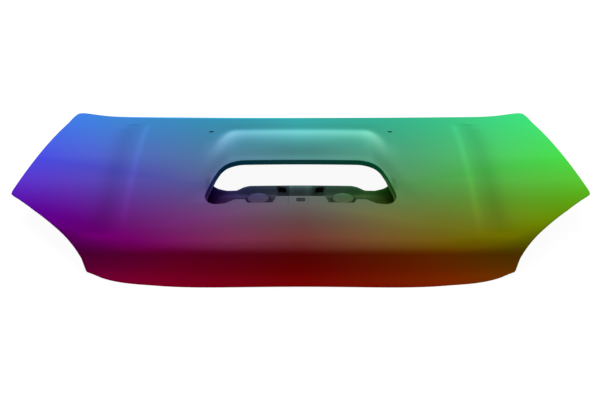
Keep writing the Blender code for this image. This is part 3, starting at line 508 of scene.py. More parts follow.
def within(area, column, row):
    return area[0] <= column <= area[1] and area[2] <= row <= area[3]


def flat_plane(area, depth):
    """A plane parallel to the skin under an area's middle: its own middle point and its normal."""
    middle = plan(np.array(area[:2])[:, None], np.array(area[2:])[None, :]).reshape(-1, 2).mean(0)
    normal = np.array(on_surface(*middle).col[2][:3])
    return np.array((*middle, skin_z(*middle) - depth)), normal


PLANES = {HINGE_PAD: flat_plane(HINGE_PAD, HINGE_DEPTH), STAY_PAD: flat_plane(STAY_PAD, CHANNEL_DEPTH)}


def frame_level(column, row, x, y):
    """The frame's height at a crossing: a pad, the nose's channel, a raised rim or a deep channel."""
    for area, (middle, normal) in PLANES.items():
        if within(area, column, row):
            return middle[2] - (normal[0] * (x - middle[0]) + normal[1] * (y - middle[1])) / normal[2]
    cover = deck_z(x, y) + (hump_z(x, y) if row >= -0.072 else 0.0)
    if row <= -0.412:
        return min(NOSE_CHANNEL_Z, cover - 0.008)
    if any(within(area, column, row) for area in WINDOWS + [OPENING_FLOOR]):
        dip = COLLAR_DIP.get(column, 0.0) if row == COLLAR_Y else 0.0
        return cover - RIM_DEPTH - dip
    depth = HINGE_DEPTH if row >= 0.244 else CHANNEL_DEPTH
    if -.280 <= row <= -.212 and .185 < column < .298:
        depth += BESIDE_OPENING
    return max(cover - depth, LOWEST_Z)


def bend_lines(lines, radius, fine_from, fine_to, fine_step=0.0045, wide_step=0.011):
    """Mesh lines either side of every bend and enough between them, closer together in one range."""
    spots = {lines[0], lines[-1]}
    for line in lines:
        spots |= {round(min(max(line + shift, lines[0]), lines[-1]), 5) for shift in (-radius, 0, radius)}
    spots = sorted(spots)
    fine = [spots[0]]
    for spot in spots[1:]:
        if spot - fine[-1] > radius / 3:
            fine.append(spot)
    parts = [fine[:1]]
    for low, high in zip(fine, fine[1:]):
        step = fine_step if fine_from <= (low + high) / 2 <= fine_to else wide_step
        parts.append(refine([low, high], step)[1:])
    return np.concatenate(parts)


def shares(lines, spots, reach=0.0028):
    """How much of each line's height a spot has, averaged over a short reach to round the bends."""
    total = 0
    for shift in np.linspace(-reach, reach, 7):
        at = np.clip(spots + shift, lines[0], lines[-1])
        total = total + np.stack([np.interp(at, lines, one) for one in np.eye(len(lines))], 1)
    return total / 7


print("frame lines", len(FRAME_COLUMNS), "across by", len(FRAME_ROWS), "along")

# %% [markdown]
# ## The formed frame
# The heights at the crossings are spread over a fine net with soft ramps, and the two round seats are
# raised on top of it. The flange is swept along the ring, so it lies inside the skin's hem.

# %% Make the frame
across, front, rear = 6, 3, 4
ring_column, ring_front, ring_rear = 0.035, 0.017, 0.020
columns = bend_lines(FRAME_COLUMNS, 0.003, fine_from=0.0, fine_to=0.26)
rows = bend_lines(FRAME_ROWS, 0.003, fine_from=-0.31, fine_to=-0.17)
net, frame_edge, frame_inner = panel_net(columns, rows, across, front, rear)
coarse_columns = np.array(FRAME_COLUMNS + [FRAME_COLUMNS[-1] + ring_column])
coarse_rows = np.array([FRAME_ROWS[0] - ring_front] + FRAME_ROWS + [FRAME_ROWS[-1] + ring_rear])
levels = np.zeros((len(coarse_columns), len(coarse_rows)))
pull = np.zeros_like(levels)
coarse_net, _, _ = panel_net(np.array(FRAME_COLUMNS), np.array(FRAME_ROWS), 1, 1, 1)
for i, column in enumerate(coarse_columns):
    for j, row in enumerate(coarse_rows):
        x, y = coarse_net[i, j]
        if i == len(coarse_columns) - 1 or j in (0, len(coarse_rows) - 1):
            levels[i, j] = under_skin(np.array((x, y)), FLANGE_DEPTH)[2]
        else:
            levels[i, j] = frame_level(column, row, float(x), float(y))
        if column <= 0.030 and row in (-.200, COLLAR_Y):
            pull[i, j] = -0.008
fine_columns = np.concatenate([columns, columns[-1] + ring_column * np.arange(1, across + 1) / across])
fine_rows = np.concatenate([rows[0] - ring_front * np.arange(front, 0, -1) / front, rows,
                            rows[-1] + ring_rear * np.arange(1, rear + 1) / rear])
by_column, by_row = shares(coarse_columns, fine_columns), shares(coarse_rows, fine_rows)
heights = by_column @ levels @ by_row.T
net[..., 1] += by_column @ pull @ by_row.T
heights = np.maximum(heights, LOWEST_Z)
from_pad = np.hypot(net[..., 0] - PAD_MIDDLE[0], net[..., 1] - PAD_MIDDLE[1])
heights += SEAT_RISE * (1 - smooth((from_pad - 0.025) / 0.008))
heights -= SEAT_DISH * (1 - smooth((from_pad - 0.010) / 0.004))
flange_depths = np.full(len(frame_edge), FLANGE_DEPTH)
flange = [under_skin(frame_edge + (frame_inner - frame_edge) * distance / HEM_RING, flange_depths)
          for distance in (HEM_RING, .011, .008, .005, .002)]
surface = np.concatenate([net, heights[..., None]], -1)
for line in (np.s_[:, 0], np.s_[-1, :], np.s_[:, -1]):
    surface[line] = under_skin(net[line], np.full(net[line].shape[:-1], FLANGE_DEPTH))
index = np.arange(surface.shape[0] * surface.shape[1]).reshape(surface.shape[:2])
frame_mesh = both_halves("inner_frame", [(surface, grid_faces(index)), strips(flange)])
print("inner_frame net", net.shape[:2])

# %% [markdown]
# ## Windows and holes of the frame
# A press cuts the windows after the forming, straight down. So each is a prism through the sheet, with
# an outline that follows the lines of the net, and a Boolean takes them all at once.

# %% Cut the frame
def window_line(area, rim=0.018, radius=0.022, step=0.02):
    """The plan outline of a window that leaves a rim inside an area of the net."""
    shape = np.array(rounded_box(area[1] - area[0] - 2 * rim, area[3] - area[2] - 2 * rim, radius, 6))
    fine = []
    for start, end in zip(shape, np.roll(shape, -1, axis=0)):
        count = max(1, round(float(np.hypot(*(end - start))) / step))
        fine.append(start + (end - start) * np.arange(count)[:, None] / count)
    fine = np.concatenate(fine)
    return plan(fine[:, 0] + (area[0] + area[1]) / 2, fine[:, 1] + (area[2] + area[3]) / 2)


def plane_at(area, side):
    """The matrix of a pad's upper face, on either side of the car."""
    middle, normal = PLANES[area]
    up = Vector(normal * (side, 1, 1))
    across_pad = Vector((0, 1, 0)).cross(up).normalized()
    turn = Matrix((across_pad, up.cross(across_pad), up)).transposed().to_4x4()
    return Matrix.Translation(middle * (side, 1, 1) + REST) @ turn


lift = Matrix.Translation(REST)
bolt_hole, stay_hole, jet_access = circle(BOLT_HOLE_RADIUS), circle(0.007), circle(0.013, 40)
opening_line, collar_slot = rounded_box(0.446, 0.124, 0.022, 8), rounded_box(0.020, 0.011, 0.003)
bolt_x, bolt_y = 0.026, -0.436
right_through, thin_cut = (-0.2, 0.3), (-0.003, 0.003)

holes = [(lift, [(side * x, y) for x, y in window_line(area)], *right_through)
         for area in WINDOWS for side in (-1, 1)]
holes.append((lift @ Matrix.Translation((0, -0.127, 0)), opening_line, *right_through))
for side in (-1, 1):
    for shift in (-0.013, 0.013):
        holes.append((plane_at(HINGE_PAD, side) @ Matrix.Translation((0, shift, 0)), bolt_hole, *thin_cut))
    holes.append((lift @ Matrix.Translation((side * bolt_x, bolt_y, NOSE_CHANNEL_Z)), bolt_hole, *thin_cut))
    holes.append((on_surface(side * 0.262, JET_Y, 0.025), jet_access, -THROUGH, THROUGH))
holes.append((plane_at(STAY_PAD, -1), stay_hole, *thin_cut))
slots = []
for x in (-COLLAR_HOLE_X, COLLAR_HOLE_X):
    slot_at = lift @ Matrix.Translation((x, COLLAR_Y, float(deck_z(x, COLLAR_Y)) - 0.014))
    slots.append((slot_at @ Matrix.Rotation(math.pi / 2, 4, 'X'), collar_slot, -THROUGH, THROUGH))
inner = finished("inner_frame", frame_mesh, thickness=FRAME_SHEET,
                 cut_by=[prisms("frame_cuts", holes), prisms("collar_cuts", slots)], solver='FAST')

# %% [markdown]
# ## Helpers for the finishes
# A material is a graph of small steps. Short helpers keep it readable: one places a node with its
# values, one does arithmetic between numbers and sockets, and the others are steps that come back often.

# %% Helpers for nodes
def give(tree, socket, value):
    """Link a socket to another one, or set its number."""
    if isinstance(value, bpy.types.NodeSocket):
        tree.links.new(value, socket)
    else:
        socket.default_value = value


def put(tree, kind, values=None, **settings):
    """A new node with its settings and the values of its sockets."""
    node = tree.nodes.new(kind)
    for name, value in settings.items():
        setattr(node, name, value)
    for name, value in (values or {}).items():
        give(tree, node.inputs[name], value)
    return node


def maths(tree, operation, *values, clamp=False):
    node = put(tree, 'ShaderNodeMath', dict(enumerate(values)), operation=operation, use_clamp=clamp)
    return node.outputs[0]


def absolute(tree, value):
    return maths(tree, 'ABSOLUTE', value)


def ramp(tree, value, stops):
    node = put(tree, 'ShaderNodeValToRGB', {"Fac": value})
    colours = node.color_ramp
    while len(colours.elements) < len(stops):
        colours.elements.new(0.5)
    for element, (position, level) in zip(colours.elements, stops):
        element.position = position
        element.color = (level, level, level, 1)
    return node.outputs["Color"]


def rising(tree, value, low, high):
    """A soft step from 0 at low to 1 at high; low may be the larger."""
    span = put(tree, 'ShaderNodeMapRange', {"Value": value}, interpolation_type='SMOOTHSTEP')
    if low > high:
        span.inputs["From Min"].default_value, span.inputs["From Max"].default_value = high, low
        span.inputs["To Min"].default_value, span.inputs["To Max"].default_value = 1.0, 0.0
    else:
        span.inputs["From Min"].default_value, span.inputs["From Max"].default_value = low, high
    return span.outputs["Result"]


def product(tree, *factors):
    total = factors[0]
    for factor in factors[1:]:
        total = maths(tree, 'MULTIPLY', total, factor)
    return total


def added(tree, *parts):
    total = parts[0]
    for part in parts[1:]:
        total = maths(tree, 'ADD', total, part)
    return total


def less(tree, factor):
    """What a factor leaves of 1."""
    return maths(tree, 'SUBTRACT', 1.0, factor)


def away_from(tree, middle, *values):
    """The distance in the plan of a place from a middle point."""
    gaps = [absolute(tree, maths(tree, 'SUBTRACT', value, float(at))) for value, at in zip(values, middle)]
    return maths(tree, 'SQRT', added(tree, *(maths(tree, 'POWER', gap, 2.0) for gap in gaps)))


def scaled(tree, vector, factor):
    node = put(tree, 'ShaderNodeVectorMath', {0: vector, "Scale": factor}, operation='SCALE')
    return node.outputs["Vector"]


def parts_of(tree, vector):
    """The X, Y and Z of a vector."""
    return put(tree, 'ShaderNodeSeparateXYZ', {"Vector": vector}).outputs


def bell(tree, value, middle, width):
    """A soft bump of height 1 at middle; width is where it has fallen to about a third."""
    share = maths(tree, 'DIVIDE', maths(tree, 'SUBTRACT', value, middle), width)
    return maths(tree, 'EXPONENT', product(tree, share, share, -1.0))


def noise(tree, vector, scale, detail=3.0, rough=0.5):
    return put(tree, 'ShaderNodeTexNoise', {"Vector": vector, "Scale": scale, "Detail": detail,
                                            "Roughness": rough}).outputs["Fac"]


def tint(tree, fac, one, other, blend_type='MIX'):
    node = put(tree, 'ShaderNodeMix', data_type='RGBA', blend_type=blend_type)
    for number, value in ((0, fac), (6, one), (7, other)):
        give(tree, node.inputs[number], value)
    return node.outputs[2]


def group(name, inputs, outputs):
    """A shader node group with named sockets, and its two end nodes."""
    tree = bpy.data.node_groups.new(name, 'ShaderNodeTree')
    for socket, kind in inputs.items():
        tree.interface.new_socket(socket, in_out='INPUT', socket_type=kind)
    for socket, kind in outputs.items():
        tree.interface.new_socket(socket, in_out='OUTPUT', socket_type=kind)
    return tree, tree.nodes.new('NodeGroupInput').outputs, tree.nodes.new('NodeGroupOutput').inputs


def new_material(name, **values):
    look = bpy.data.materials.new(name)
    look.use_nodes = True
    shader = look.node_tree.nodes["Principled BSDF"]
    for socket, value in values.items():
        shader.inputs[socket.replace("_", " ")].default_value = value
    return look, look.node_tree, shader


# %% [markdown]
# ## The fade
# The paint goes round the whole colour wheel about a point just in front of the hump, grey in the
# middle and strong at the edges, and it is darker towards the nose, partly as the fade and partly as
# painted shade. Two numbers place a point on the wheel. Their angle is the hue and their distance is the
# strength. The wheel was laid on from in front and above, so both numbers shrink a little with the
# distance from there. The lightness also holds painted light and shade: a dark band over the nose bend,
# sides painted lighter than the middle towards the rear, and a painted light on the right.

# %% The fade as a node group
SPRAY_COS, SPRAY_SIN, SPRAY_AWAY, SPRAY_Y = 0.8937, 0.4486, 3.35, -0.071
# Lightness up the wheel, in the middle and at the sides: the fade's own lightness, with painted shade over
# the nose bend and towards the nose, and painted light at the sides towards the rear.
MIDDLE_LIGHT = [(0.072, 0.290), (0.136, 0.238), (0.216, 0.210), (0.253, 0.305), (0.400, 0.328),
                (0.511, 0.385), (0.618, 0.452), (0.90, 0.432)]
SIDE_LIGHT = [(0.100, 0.245), (0.150, 0.200), (0.243, 0.145), (0.340, 0.180), (0.457, 0.315), (0.618, 0.500),
              (0.750, 0.590), (0.93, 0.585)]

fade, given, result = group("paint fade", {"Place": 'NodeSocketVector'}, {"Colour": 'NodeSocketColor'})
axes = parts_of(fade, given["Place"])
along = maths(fade, 'ADD', axes["Y"], -SPRAY_Y - REST[1])
above = maths(fade, 'ADD', axes["Z"], -REST[2])
spread = added(fade, product(fade, along, SPRAY_COS), SPRAY_AWAY, product(fade, above, -SPRAY_SIN))
wheel_x = maths(fade, 'DIVIDE', product(fade, axes["X"], 4.417), spread)
rise = added(fade, product(fade, along, SPRAY_SIN), product(fade, above, SPRAY_COS))
wheel_y = maths(fade, 'ADD', maths(fade, 'DIVIDE', product(fade, rise, 15.07), spread), 0.0235)

on_the_nose = less(fade, product(fade, rising(fade, wheel_y, -0.50, -0.64), 0.28))
turn = maths(fade, 'ARCTAN2', product(fade, wheel_x, on_the_nose), product(fade, wheel_y, -1.0))
hue = maths(fade, 'FRACT', maths(fade, 'ADD', maths(fade, 'DIVIDE', turn, 2 * math.pi), 1.0))

stretch = put(fade, 'ShaderNodeMapRange', {"Value": wheel_y, "From Min": -0.3, "From Max": 0.3,
                                           "To Min": 0.49, "To Max": 0.42}).outputs["Result"]
forwards = absolute(fade, product(fade, wheel_y, stretch))
strength = maths(fade, 'SQRT', added(fade, maths(fade, 'POWER', product(fade, wheel_x, 0.57), 2.0),
                                     maths(fade, 'POWER', forwards, 2.0)))
side_of_wheel = absolute(fade, wheel_x)
weaker = product(fade, bell(fade, wheel_y, -0.30, 0.16), bell(fade, side_of_wheel, 0.57, 0.20), 0.15)
strength = product(fade, strength, less(fade, weaker))

up_the_wheel = product(fade, maths(fade, 'ADD', wheel_y, 1.1), 1 / 2.2)
middle_light, side_light = ramp(fade, up_the_wheel, MIDDLE_LIGHT), ramp(fade, up_the_wheel, SIDE_LIGHT)
both_lights = tint(fade, rising(fade, side_of_wheel, 0.15, 1.00), middle_light, side_light)
# A painted light: the right side is made a little lighter towards the front.
painted_right_light = product(fade, rising(fade, wheel_x, 0.42, 0.75), bell(fade, wheel_y, -0.24, 0.20), 0.045)
light = maths(fade, 'ADD', both_lights, painted_right_light)
room = less(fade, absolute(fade, maths(fade, 'SUBTRACT', product(fade, light, 2.0), 1.0)))
full = maths(fade, 'DIVIDE', strength, room, clamp=True)

mixed = put(fade, 'ShaderNodeCombineColor', {"Red": hue, "Green": full, "Blue": light}, mode='HSL')
sprayed = put(fade, 'ShaderNodeGamma', {"Color": mixed.outputs["Color"], "Gamma": 2.2})
fade.links.new(sprayed.outputs["Color"], result["Colour"])
print("fade nodes", len(fade.nodes))

# %% [markdown]
# ## Light and shade of the pressed lines
# The shoulder creases catch a thin line of light and are darker outside it. The hump is lighter over
# its back and its flanks and darker towards the opening and at its foot, and the turned-down walls of the
# opening stay in the shade. One group works out a factor for all of these from the place on the panel,
# and the skin's colour is multiplied by it, so all of this is painted light and shade. It also paints a
# highlight along the left part of the rear edge, and painted shade where each crease ends at the rear,
# beside the opening's rolled sides, in two lines on the tongues and in a ring round each washer jet. The
# walls' painted shade also makes the colour richer, and the hump's painted highlight makes it less saturated.

# %% Light and shade as a node group
shade, given, result = group("light and shade", {"Place": 'NodeSocketVector'},
                             {name: 'NodeSocketFloat' for name in ("Factor", "Wall", "Pale")})
axes = parts_of(shade, given["Place"])
side_x, body_y = absolute(shade, axes["X"]), axes["Y"]
# Each term below paints light or shade into the skin's colour as part of one factor.
crease_x = maths(shade, 'ADD', product(shade, body_y, 0.019), 0.4315)
from_crease = maths(shade, 'SUBTRACT', side_x, crease_x)
along_crease = product(shade, rising(shade, body_y, -0.44, -0.30), rising(shade, body_y, 0.325, 0.285))
crease_line = product(shade, bell(shade, from_crease, 0.0, 0.0095), along_crease, 0.14)
beside_crease = product(shade, bell(shade, from_crease, 0.052, 0.030), along_crease, -0.13)
dimple = product(shade, bell(shade, side_x, 0.478, 0.022), bell(shade, body_y, 0.322, 0.009), -0.20)
hump_back = product(shade, bell(shade, body_y, 0.080, 0.064), rising(shade, side_x, 0.240, 0.175), 0.74)
hump_front = product(shade, bell(shade, body_y, -0.075, 0.055), rising(shade, side_x, 0.160, 0.0), -0.22)
hump_side = product(shade, bell(shade, side_x, 0.206, 0.034), bell(shade, body_y, 0.022, 0.085), 0.52)
rolled_edge = product(shade, bell(shade, side_x, 0.2305, 0.0075), rising(shade, body_y, -0.245, -0.222),
                      rising(shade, body_y, -0.165, -0.190), -0.27)
hump_foot = product(shade, bell(shade, body_y, 0.245, 0.040), rising(shade, side_x, 0.250, 0.180), -0.08)
from_rear_edge = added(shade, body_y, product(shade, maths(shade, 'POWER', side_x, 2.1), -0.37))
rear_line = product(shade, rising(shade, from_rear_edge, 0.346, 0.358), rising(shade, axes["X"], 0.10, -0.20),
                    rising(shade, axes["X"], -0.60, -0.42), 0.85)
relief_lines = added(shade, *(bell(shade, axes["X"], line_x, 0.0013) for line_x in (-0.0300, 0.0175)))
relief = product(shade, relief_lines, rising(shade, body_y, -0.302, -0.292),
                 rising(shade, body_y, -0.240, -0.250), -0.20)
total = added(shade, 1.0, relief, crease_line, beside_crease, dimple, hump_back, hump_front, hump_side,
              rolled_edge, hump_foot, rear_line)

# A painted ring of shade round each washer jet, and painted shade on the turned-down walls at the opening,
# found from the normal.
from_jet = away_from(shade, (JET_X, JET_Y + REST[1]), side_x, body_y)
jet_shade = product(shade, rising(shade, from_jet, 0.0082, 0.0056), 0.85)
upright = parts_of(shade, put(shade, 'ShaderNodeTexCoord').outputs["Normal"])["Z"]
at_opening = product(shade, rising(shade, side_x, 0.275, 0.262), rising(shade, body_y, -0.320, -0.300),
                     rising(shade, body_y, -0.085, -0.100))
wall = product(shade, rising(shade, upright, 0.80, 0.25), at_opening)
total = product(shade, total, less(shade, jet_shade), less(shade, product(shade, wall, 0.66)))
shade.links.new(total, result["Factor"])
shade.links.new(wall, result["Wall"])
# The hump's painted highlight also makes the colour less saturated.
shade.links.new(maths(shade, 'ADD', hump_back, hump_side, clamp=True), result["Pale"])
print("shade nodes", len(shade.nodes))

# %% [markdown]
# ## Air-dried paint
# Sprayed paint isn't flat: it dries to orange peel about a millimetre across, and dust and faint
# scuffs lie on it. One group gives the height of the peel and a mask for the dust, and both sheets use it.

# %% Peel and dust as a node group
spray, given, result = group("peel and dust", {"Place": 'NodeSocketVector', "Peel size": 'NodeSocketFloat'},
                             {"Height": 'NodeSocketFloat', "Dust": 'NodeSocketFloat'})
peel = noise(spray, given["Place"], given["Peel size"], 2.0, 0.4)
waves = noise(spray, given["Place"], 14.0, 2.0, 0.5)
spray.links.new(maths(spray, 'ADD', peel, product(spray, waves, 1.5)), result["Height"])
cloud = noise(spray, given["Place"], 5.0, 5.0, 0.6)
specks = noise(spray, given["Place"], 240.0, 2.0, 0.7)
dust = product(spray, ramp(spray, cloud, [(0.42, 0.0), (0.72, 1.0)]),
               ramp(spray, specks, [(0.45, 0.25), (0.70, 1.0)]))
spray.links.new(dust, result["Dust"])
print("peel and dust nodes", len(spray.nodes))


def place(tree):
    """The place on the part itself, so that a finish stays put when the part moves."""
    return put(tree, 'ShaderNodeTexCoord').outputs["Object"]


def richer(tree, colour, saturation, fac=1.0):
    node = put(tree, 'ShaderNodeHueSaturation', {"Saturation": saturation, "Fac": fac, "Color": colour})
    return node.outputs["Color"]


def use(tree, which, **values):
    node = put(tree, 'ShaderNodeGroup', node_tree=which)
    for name, value in values.items():
        give(tree, node.inputs[name.replace("_", " ")], value)
    return node.outputs


def bump(tree, shader, height, strength, distance):
    node = put(tree, 'ShaderNodeBump', {"Height": height, "Strength": strength, "Distance": distance})
    tree.links.new(node.outputs["Normal"], shader.inputs["Normal"])


# %% [markdown]
# ## The two paints
# The skin has the full fade with its painted light and shade. The frame's fade is made richer and
# darkened as painted shade, for the frame lies in shade under the skin; in random patches it is thin with
# primer showing through, and dust lies on it. Its colour is painted lighter on the collar, on its middle
# block and on the two round seats, and darker in a line under the block: painted light and shade where
# light falls through the opening.

# %% The two paints
skin_paint, tree, shader = new_material("faded paint", Specular_IOR_Level=0.0, Metallic=0.14)
spot = place(tree)
colour = use(tree, fade, Place=spot)["Colour"]
surface_of = use(tree, spray, Place=spot, Peel_size=620.0)
pressed = use(tree, shade, Place=spot)
# Dust is the paint's own. The Wall factor makes the colour richer as painted shade on the opening's walls,
# the Pale factor makes it less saturated in the hump's painted highlight, and the Factor scales it by all the
# painted light and shade.
dusty = tint(tree, product(tree, surface_of["Dust"], 0.10), colour, (0.55, 0.55, 0.55, 1), 'MULTIPLY')
deep = richer(tree, dusty, 1.45, pressed["Wall"])
paler = richer(tree, deep, 0.80, pressed["Pale"])
shaded = scaled(tree, paler, pressed["Factor"])
tree.links.new(shaded, shader.inputs["Base Color"])
tree.links.new(shaded, shader.inputs["Specular Tint"])
tree.links.new(ramp(tree, surface_of["Dust"], [(0.0, 0.40), (1.0, 0.62)]), shader.inputs["Roughness"])
bump(tree, shader, surface_of["Height"], 0.10, 0.0006)

frame_paint, tree, shader = new_material("frame paint", Specular_IOR_Level=0.06, Metallic=0.10)
spot = place(tree)
colour = richer(tree, use(tree, fade, Place=spot)["Colour"], 1.5)
surface_of = use(tree, spray, Place=spot, Peel_size=420.0)
# Darkening the frame's colour to three tenths is painted shade, for the frame lies in shade under the skin;
# the dust colour and the random thin patches are its own.
dark = tint(tree, 1.0, colour, (0.30, 0.30, 0.30, 1), 'MULTIPLY')
dust_colour = tint(tree, 1.0, colour, (0.55, 0.55, 0.55, 1), 'MULTIPLY')
thin = ramp(tree, noise(tree, spot, 9.0, 6.0, 0.65), [(0.45, 0.0), (0.75, 0.45)])
primer = tint(tree, thin, dark, tint(tree, 0.75, (0.035, 0.037, 0.04, 1), dark))
dusty = tint(tree, product(tree, surface_of["Dust"], 0.30), primer, dust_colour)

# Painted light and shade where light falls through the opening: a lighter top and sides of the middle block,
# a painted shadow in a line under it, lighter tops of the round seats and a lighter collar wall.
axes = parts_of(tree, spot)
side_x = absolute(tree, axes["X"])
at_collar = product(tree, rising(tree, axes["Y"], -0.218, -0.210), rising(tree, axes["Y"], -0.186, -0.190))
block_top = product(tree, rising(tree, side_x, 0.031, 0.026), at_collar, 0.80)
from_block_side = absolute(tree, maths(tree, 'ADD', axes["X"], 0.004))
block_sides = product(tree, bell(tree, from_block_side, 0.020, 0.0055), at_collar, 0.45)
block_foot = product(tree, rising(tree, side_x, 0.034, 0.029), bell(tree, axes["Y"], -0.2115, 0.0030), -0.55)
from_pad = away_from(tree, (PAD_MIDDLE[0], PAD_MIDDLE[1] + REST[1]), side_x, axes["Y"])
pad_top = product(tree, rising(tree, from_pad, 0.0275, 0.0245), 1.15)
collar_wall = product(tree, rising(tree, side_x, 0.054, 0.062), rising(tree, side_x, 0.200, 0.150),
                      at_collar, 0.75)
painted_light_through_opening = added(tree, 1.0, block_top, block_sides, block_foot, pad_top, collar_wall)

tree.links.new(scaled(tree, dusty, painted_light_through_opening), shader.inputs["Base Color"])
tree.links.new(colour, shader.inputs["Specular Tint"])
tree.links.new(ramp(tree, surface_of["Dust"], [(0.0, 0.45), (1.0, 0.75)]), shader.inputs["Roughness"])
bump(tree, shader, surface_of["Height"], 0.15, 0.0006)
print("paints", skin_paint.name, "and", frame_paint.name)

# %% [markdown]
# ## Dressing the two sheets
# The fine skin and the fine frame now take the place of their plain solids, each with its own paint.

# %% Let the two sheets take the place of the plain solids
def sit(piece, slot, *nodes):
    """A piece rides on the bonnet and stands for the plain solids that it replaces."""
    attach(piece, "root")
    if nodes:
        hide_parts(*nodes)


def dress(piece, look, slot, *nodes):
    """Give a piece its finish before it takes its place."""
    piece.data.materials.clear()
    piece.data.materials.append(look)
    sit(piece, slot, *nodes)


dress(outer, skin_paint, "faded_paint", "outer_panel")
dress(inner, frame_paint, "frame_paint", "inner_panel")

# %% [markdown]
# ## Pockets behind the collar's holes
# The two holes of the collar are dark in the photograph. Here a small pressed pocket closes each of them
# from behind, and its paint is the fade darkened nearly to black: the pockets and their paint are painted
# shade, put where the holes are in shade. A pocket is a box of thin sheet that is open towards the front.

# %% Make the collar pockets
def open_box(matrix, width, height, depth, draft=0.0012):
    """Corner points and faces of a box open on its front side, a little narrower at its back."""
    front_ring = [(x * width / 2, 0, z * height / 2) for x, z in ((-1, -1), (1, -1), (1, 1), (-1, 1))]
    back_ring = [(x - math.copysign(draft, x), depth, z - math.copysign(draft, z)) for x, _, z in front_ring]
    points = [matrix @ Vector(point) for point in front_ring + back_ring]
    sides = [(k, (k + 1) % 4, (k + 1) % 4 + 4, k + 4) for k in range(4)]
    return points, sides + [(4, 5, 6, 7)]


bm = bmesh.new()
for x in (-COLLAR_HOLE_X, COLLAR_HOLE_X):
    matrix = lift @ Matrix.Translation((x, COLLAR_Y - 0.0042, float(deck_z(x, COLLAR_Y)) - 0.0152))
    points, faces = open_box(matrix, width=0.0265, height=0.0165, depth=0.0115)
    corners = [bm.verts.new(point) for point in points]
    for face in faces:
        bm.faces.new([corners[k] for k in face])
bmesh.ops.recalc_face_normals(bm, faces=bm.faces)
mesh = bpy.data.meshes.new("collar_pockets")
bm.to_mesh(mesh)
bm.free()
pockets = finished("collar_pockets", mesh, thickness=FRAME_SHEET)

# The pockets' paint is painted shade: the fade darkened nearly to black.
pocket_shade_paint, tree, shader = new_material("pocket shade paint", Specular_IOR_Level=0.05)
spot = place(tree)
surface_of = use(tree, spray, Place=spot, Peel_size=500.0)
colour = use(tree, fade, Place=spot)["Colour"]
tree.links.new(tint(tree, 1.0, colour, (0.055, 0.055, 0.055, 1), 'MULTIPLY'), shader.inputs["Base Color"])
tree.links.new(ramp(tree, surface_of["Dust"], [(0.0, 0.7), (1.0, 0.9)]), shader.inputs["Roughness"])
bump(tree, shader, surface_of["Height"], 0.2, 0.0004)
dress(pockets, pocket_shade_paint, "frame_paint")

# %% [markdown]
# ## Zinc, steel and mastic
# The fittings under the bonnet were left as they came from their maker: zinc plate with a faint bloom,
# a bare rod that the latch has polished, and soft grey-black mastic. Each finish is worked out from the
# place on the part, so no two fittings look quite the same.

# %% Finishes of the fittings
zinc, tree, shader = new_material("zinc plate", Metallic=1.0)
spot = place(tree)
bloom = noise(tree, spot, 85.0, 5.0, 0.65)
spangle = put(tree, 'ShaderNodeTexVoronoi', {"Vector": spot, "Scale": 420.0}).outputs["Color"]
bloomed = ramp(tree, bloom, [(0.38, 0.0), (0.68, 1.0)])
grey = tint(tree, bloomed, (0.58, 0.57, 0.52, 1), (0.36, 0.36, 0.35, 1))
tree.links.new(tint(tree, 0.10, grey, spangle, 'OVERLAY'), shader.inputs["Base Color"])
tree.links.new(ramp(tree, bloom, [(0.35, 0.32), (0.75, 0.62)]), shader.inputs["Roughness"])
bump(tree, shader, noise(tree, spot, 900.0, 2.0), 0.12, 0.0002)

steel, tree, shader = new_material("bare steel", Metallic=1.0)
spot = place(tree)
polished = rising(tree, parts_of(tree, spot)["Z"], 0.026, 0.014)
stretched = put(tree, 'ShaderNodeMapping', {"Vector": spot, "Scale": (1.0, 1.0, 14.0)}).outputs["Vector"]
marks = noise(tree, stretched, 260.0, 4.0, 0.7)
worn = tint(tree, polished, (0.34, 0.33, 0.32, 1), (0.62, 0.61, 0.60, 1))
rust = ramp(tree, noise(tree, spot, 130.0, 4.0), [(0.52, 0.0), (0.72, 0.8)])
tree.links.new(tint(tree, rust, worn, (0.20, 0.14, 0.10, 1)), shader.inputs["Base Color"])
rubbed = added(tree, product(tree, marks, 0.4), product(tree, polished, 0.5))
tree.links.new(ramp(tree, rubbed, [(0.1, 0.55), (0.7, 0.24)]), shader.inputs["Roughness"])
bump(tree, shader, marks, 0.15, 0.0002)

mastic, tree, shader = new_material("mastic", Specular_IOR_Level=0.35)
spot = place(tree)
lumps = noise(tree, spot, 330.0, 4.0, 0.6)
greyed = ramp(tree, noise(tree, spot, 60.0, 3.0), [(0.4, 0.0), (0.7, 1.0)])
black = tint(tree, greyed, (0.045, 0.045, 0.050, 1), (0.085, 0.083, 0.080, 1))
tree.links.new(black, shader.inputs["Base Color"])
tree.links.new(ramp(tree, lumps, [(0.3, 0.55), (0.7, 0.85)]), shader.inputs["Roughness"])
bump(tree, shader, lumps, 0.5, 0.0006)

for name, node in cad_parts.items():
    finish = steel if name == "striker_loop" else mastic if name.startswith("mastic") else zinc
    if name not in ("outer_panel", "inner_panel"):
        node.data.materials[0] = finish
print("finishes", zinc.name, steel.name, mastic.name)

# %% [markdown]
# ## Geometry node helpers
# What repeats, or follows a path, is made by small node trees that stay readable: the tree is built
# here, run once on a carrier mesh, and its result is kept as a plain mesh.

# %% Helpers for geometry nodes
def geometry_tree(name, **numbers):
    """An empty geometry tree with its named inputs and their usual values."""
    tree = bpy.data.node_groups.new(name, 'GeometryNodeTree')
    tree.interface.new_socket("Geometry", in_out='INPUT', socket_type='NodeSocketGeometry')
    tree.interface.new_socket("Geometry", in_out='OUTPUT', socket_type='NodeSocketGeometry')
    for socket, value in numbers.items():
        made = tree.interface.new_socket(socket, in_out='INPUT', socket_type='NodeSocketFloat')
        made.default_value = value
    return tree, tree.nodes.new('NodeGroupInput').outputs


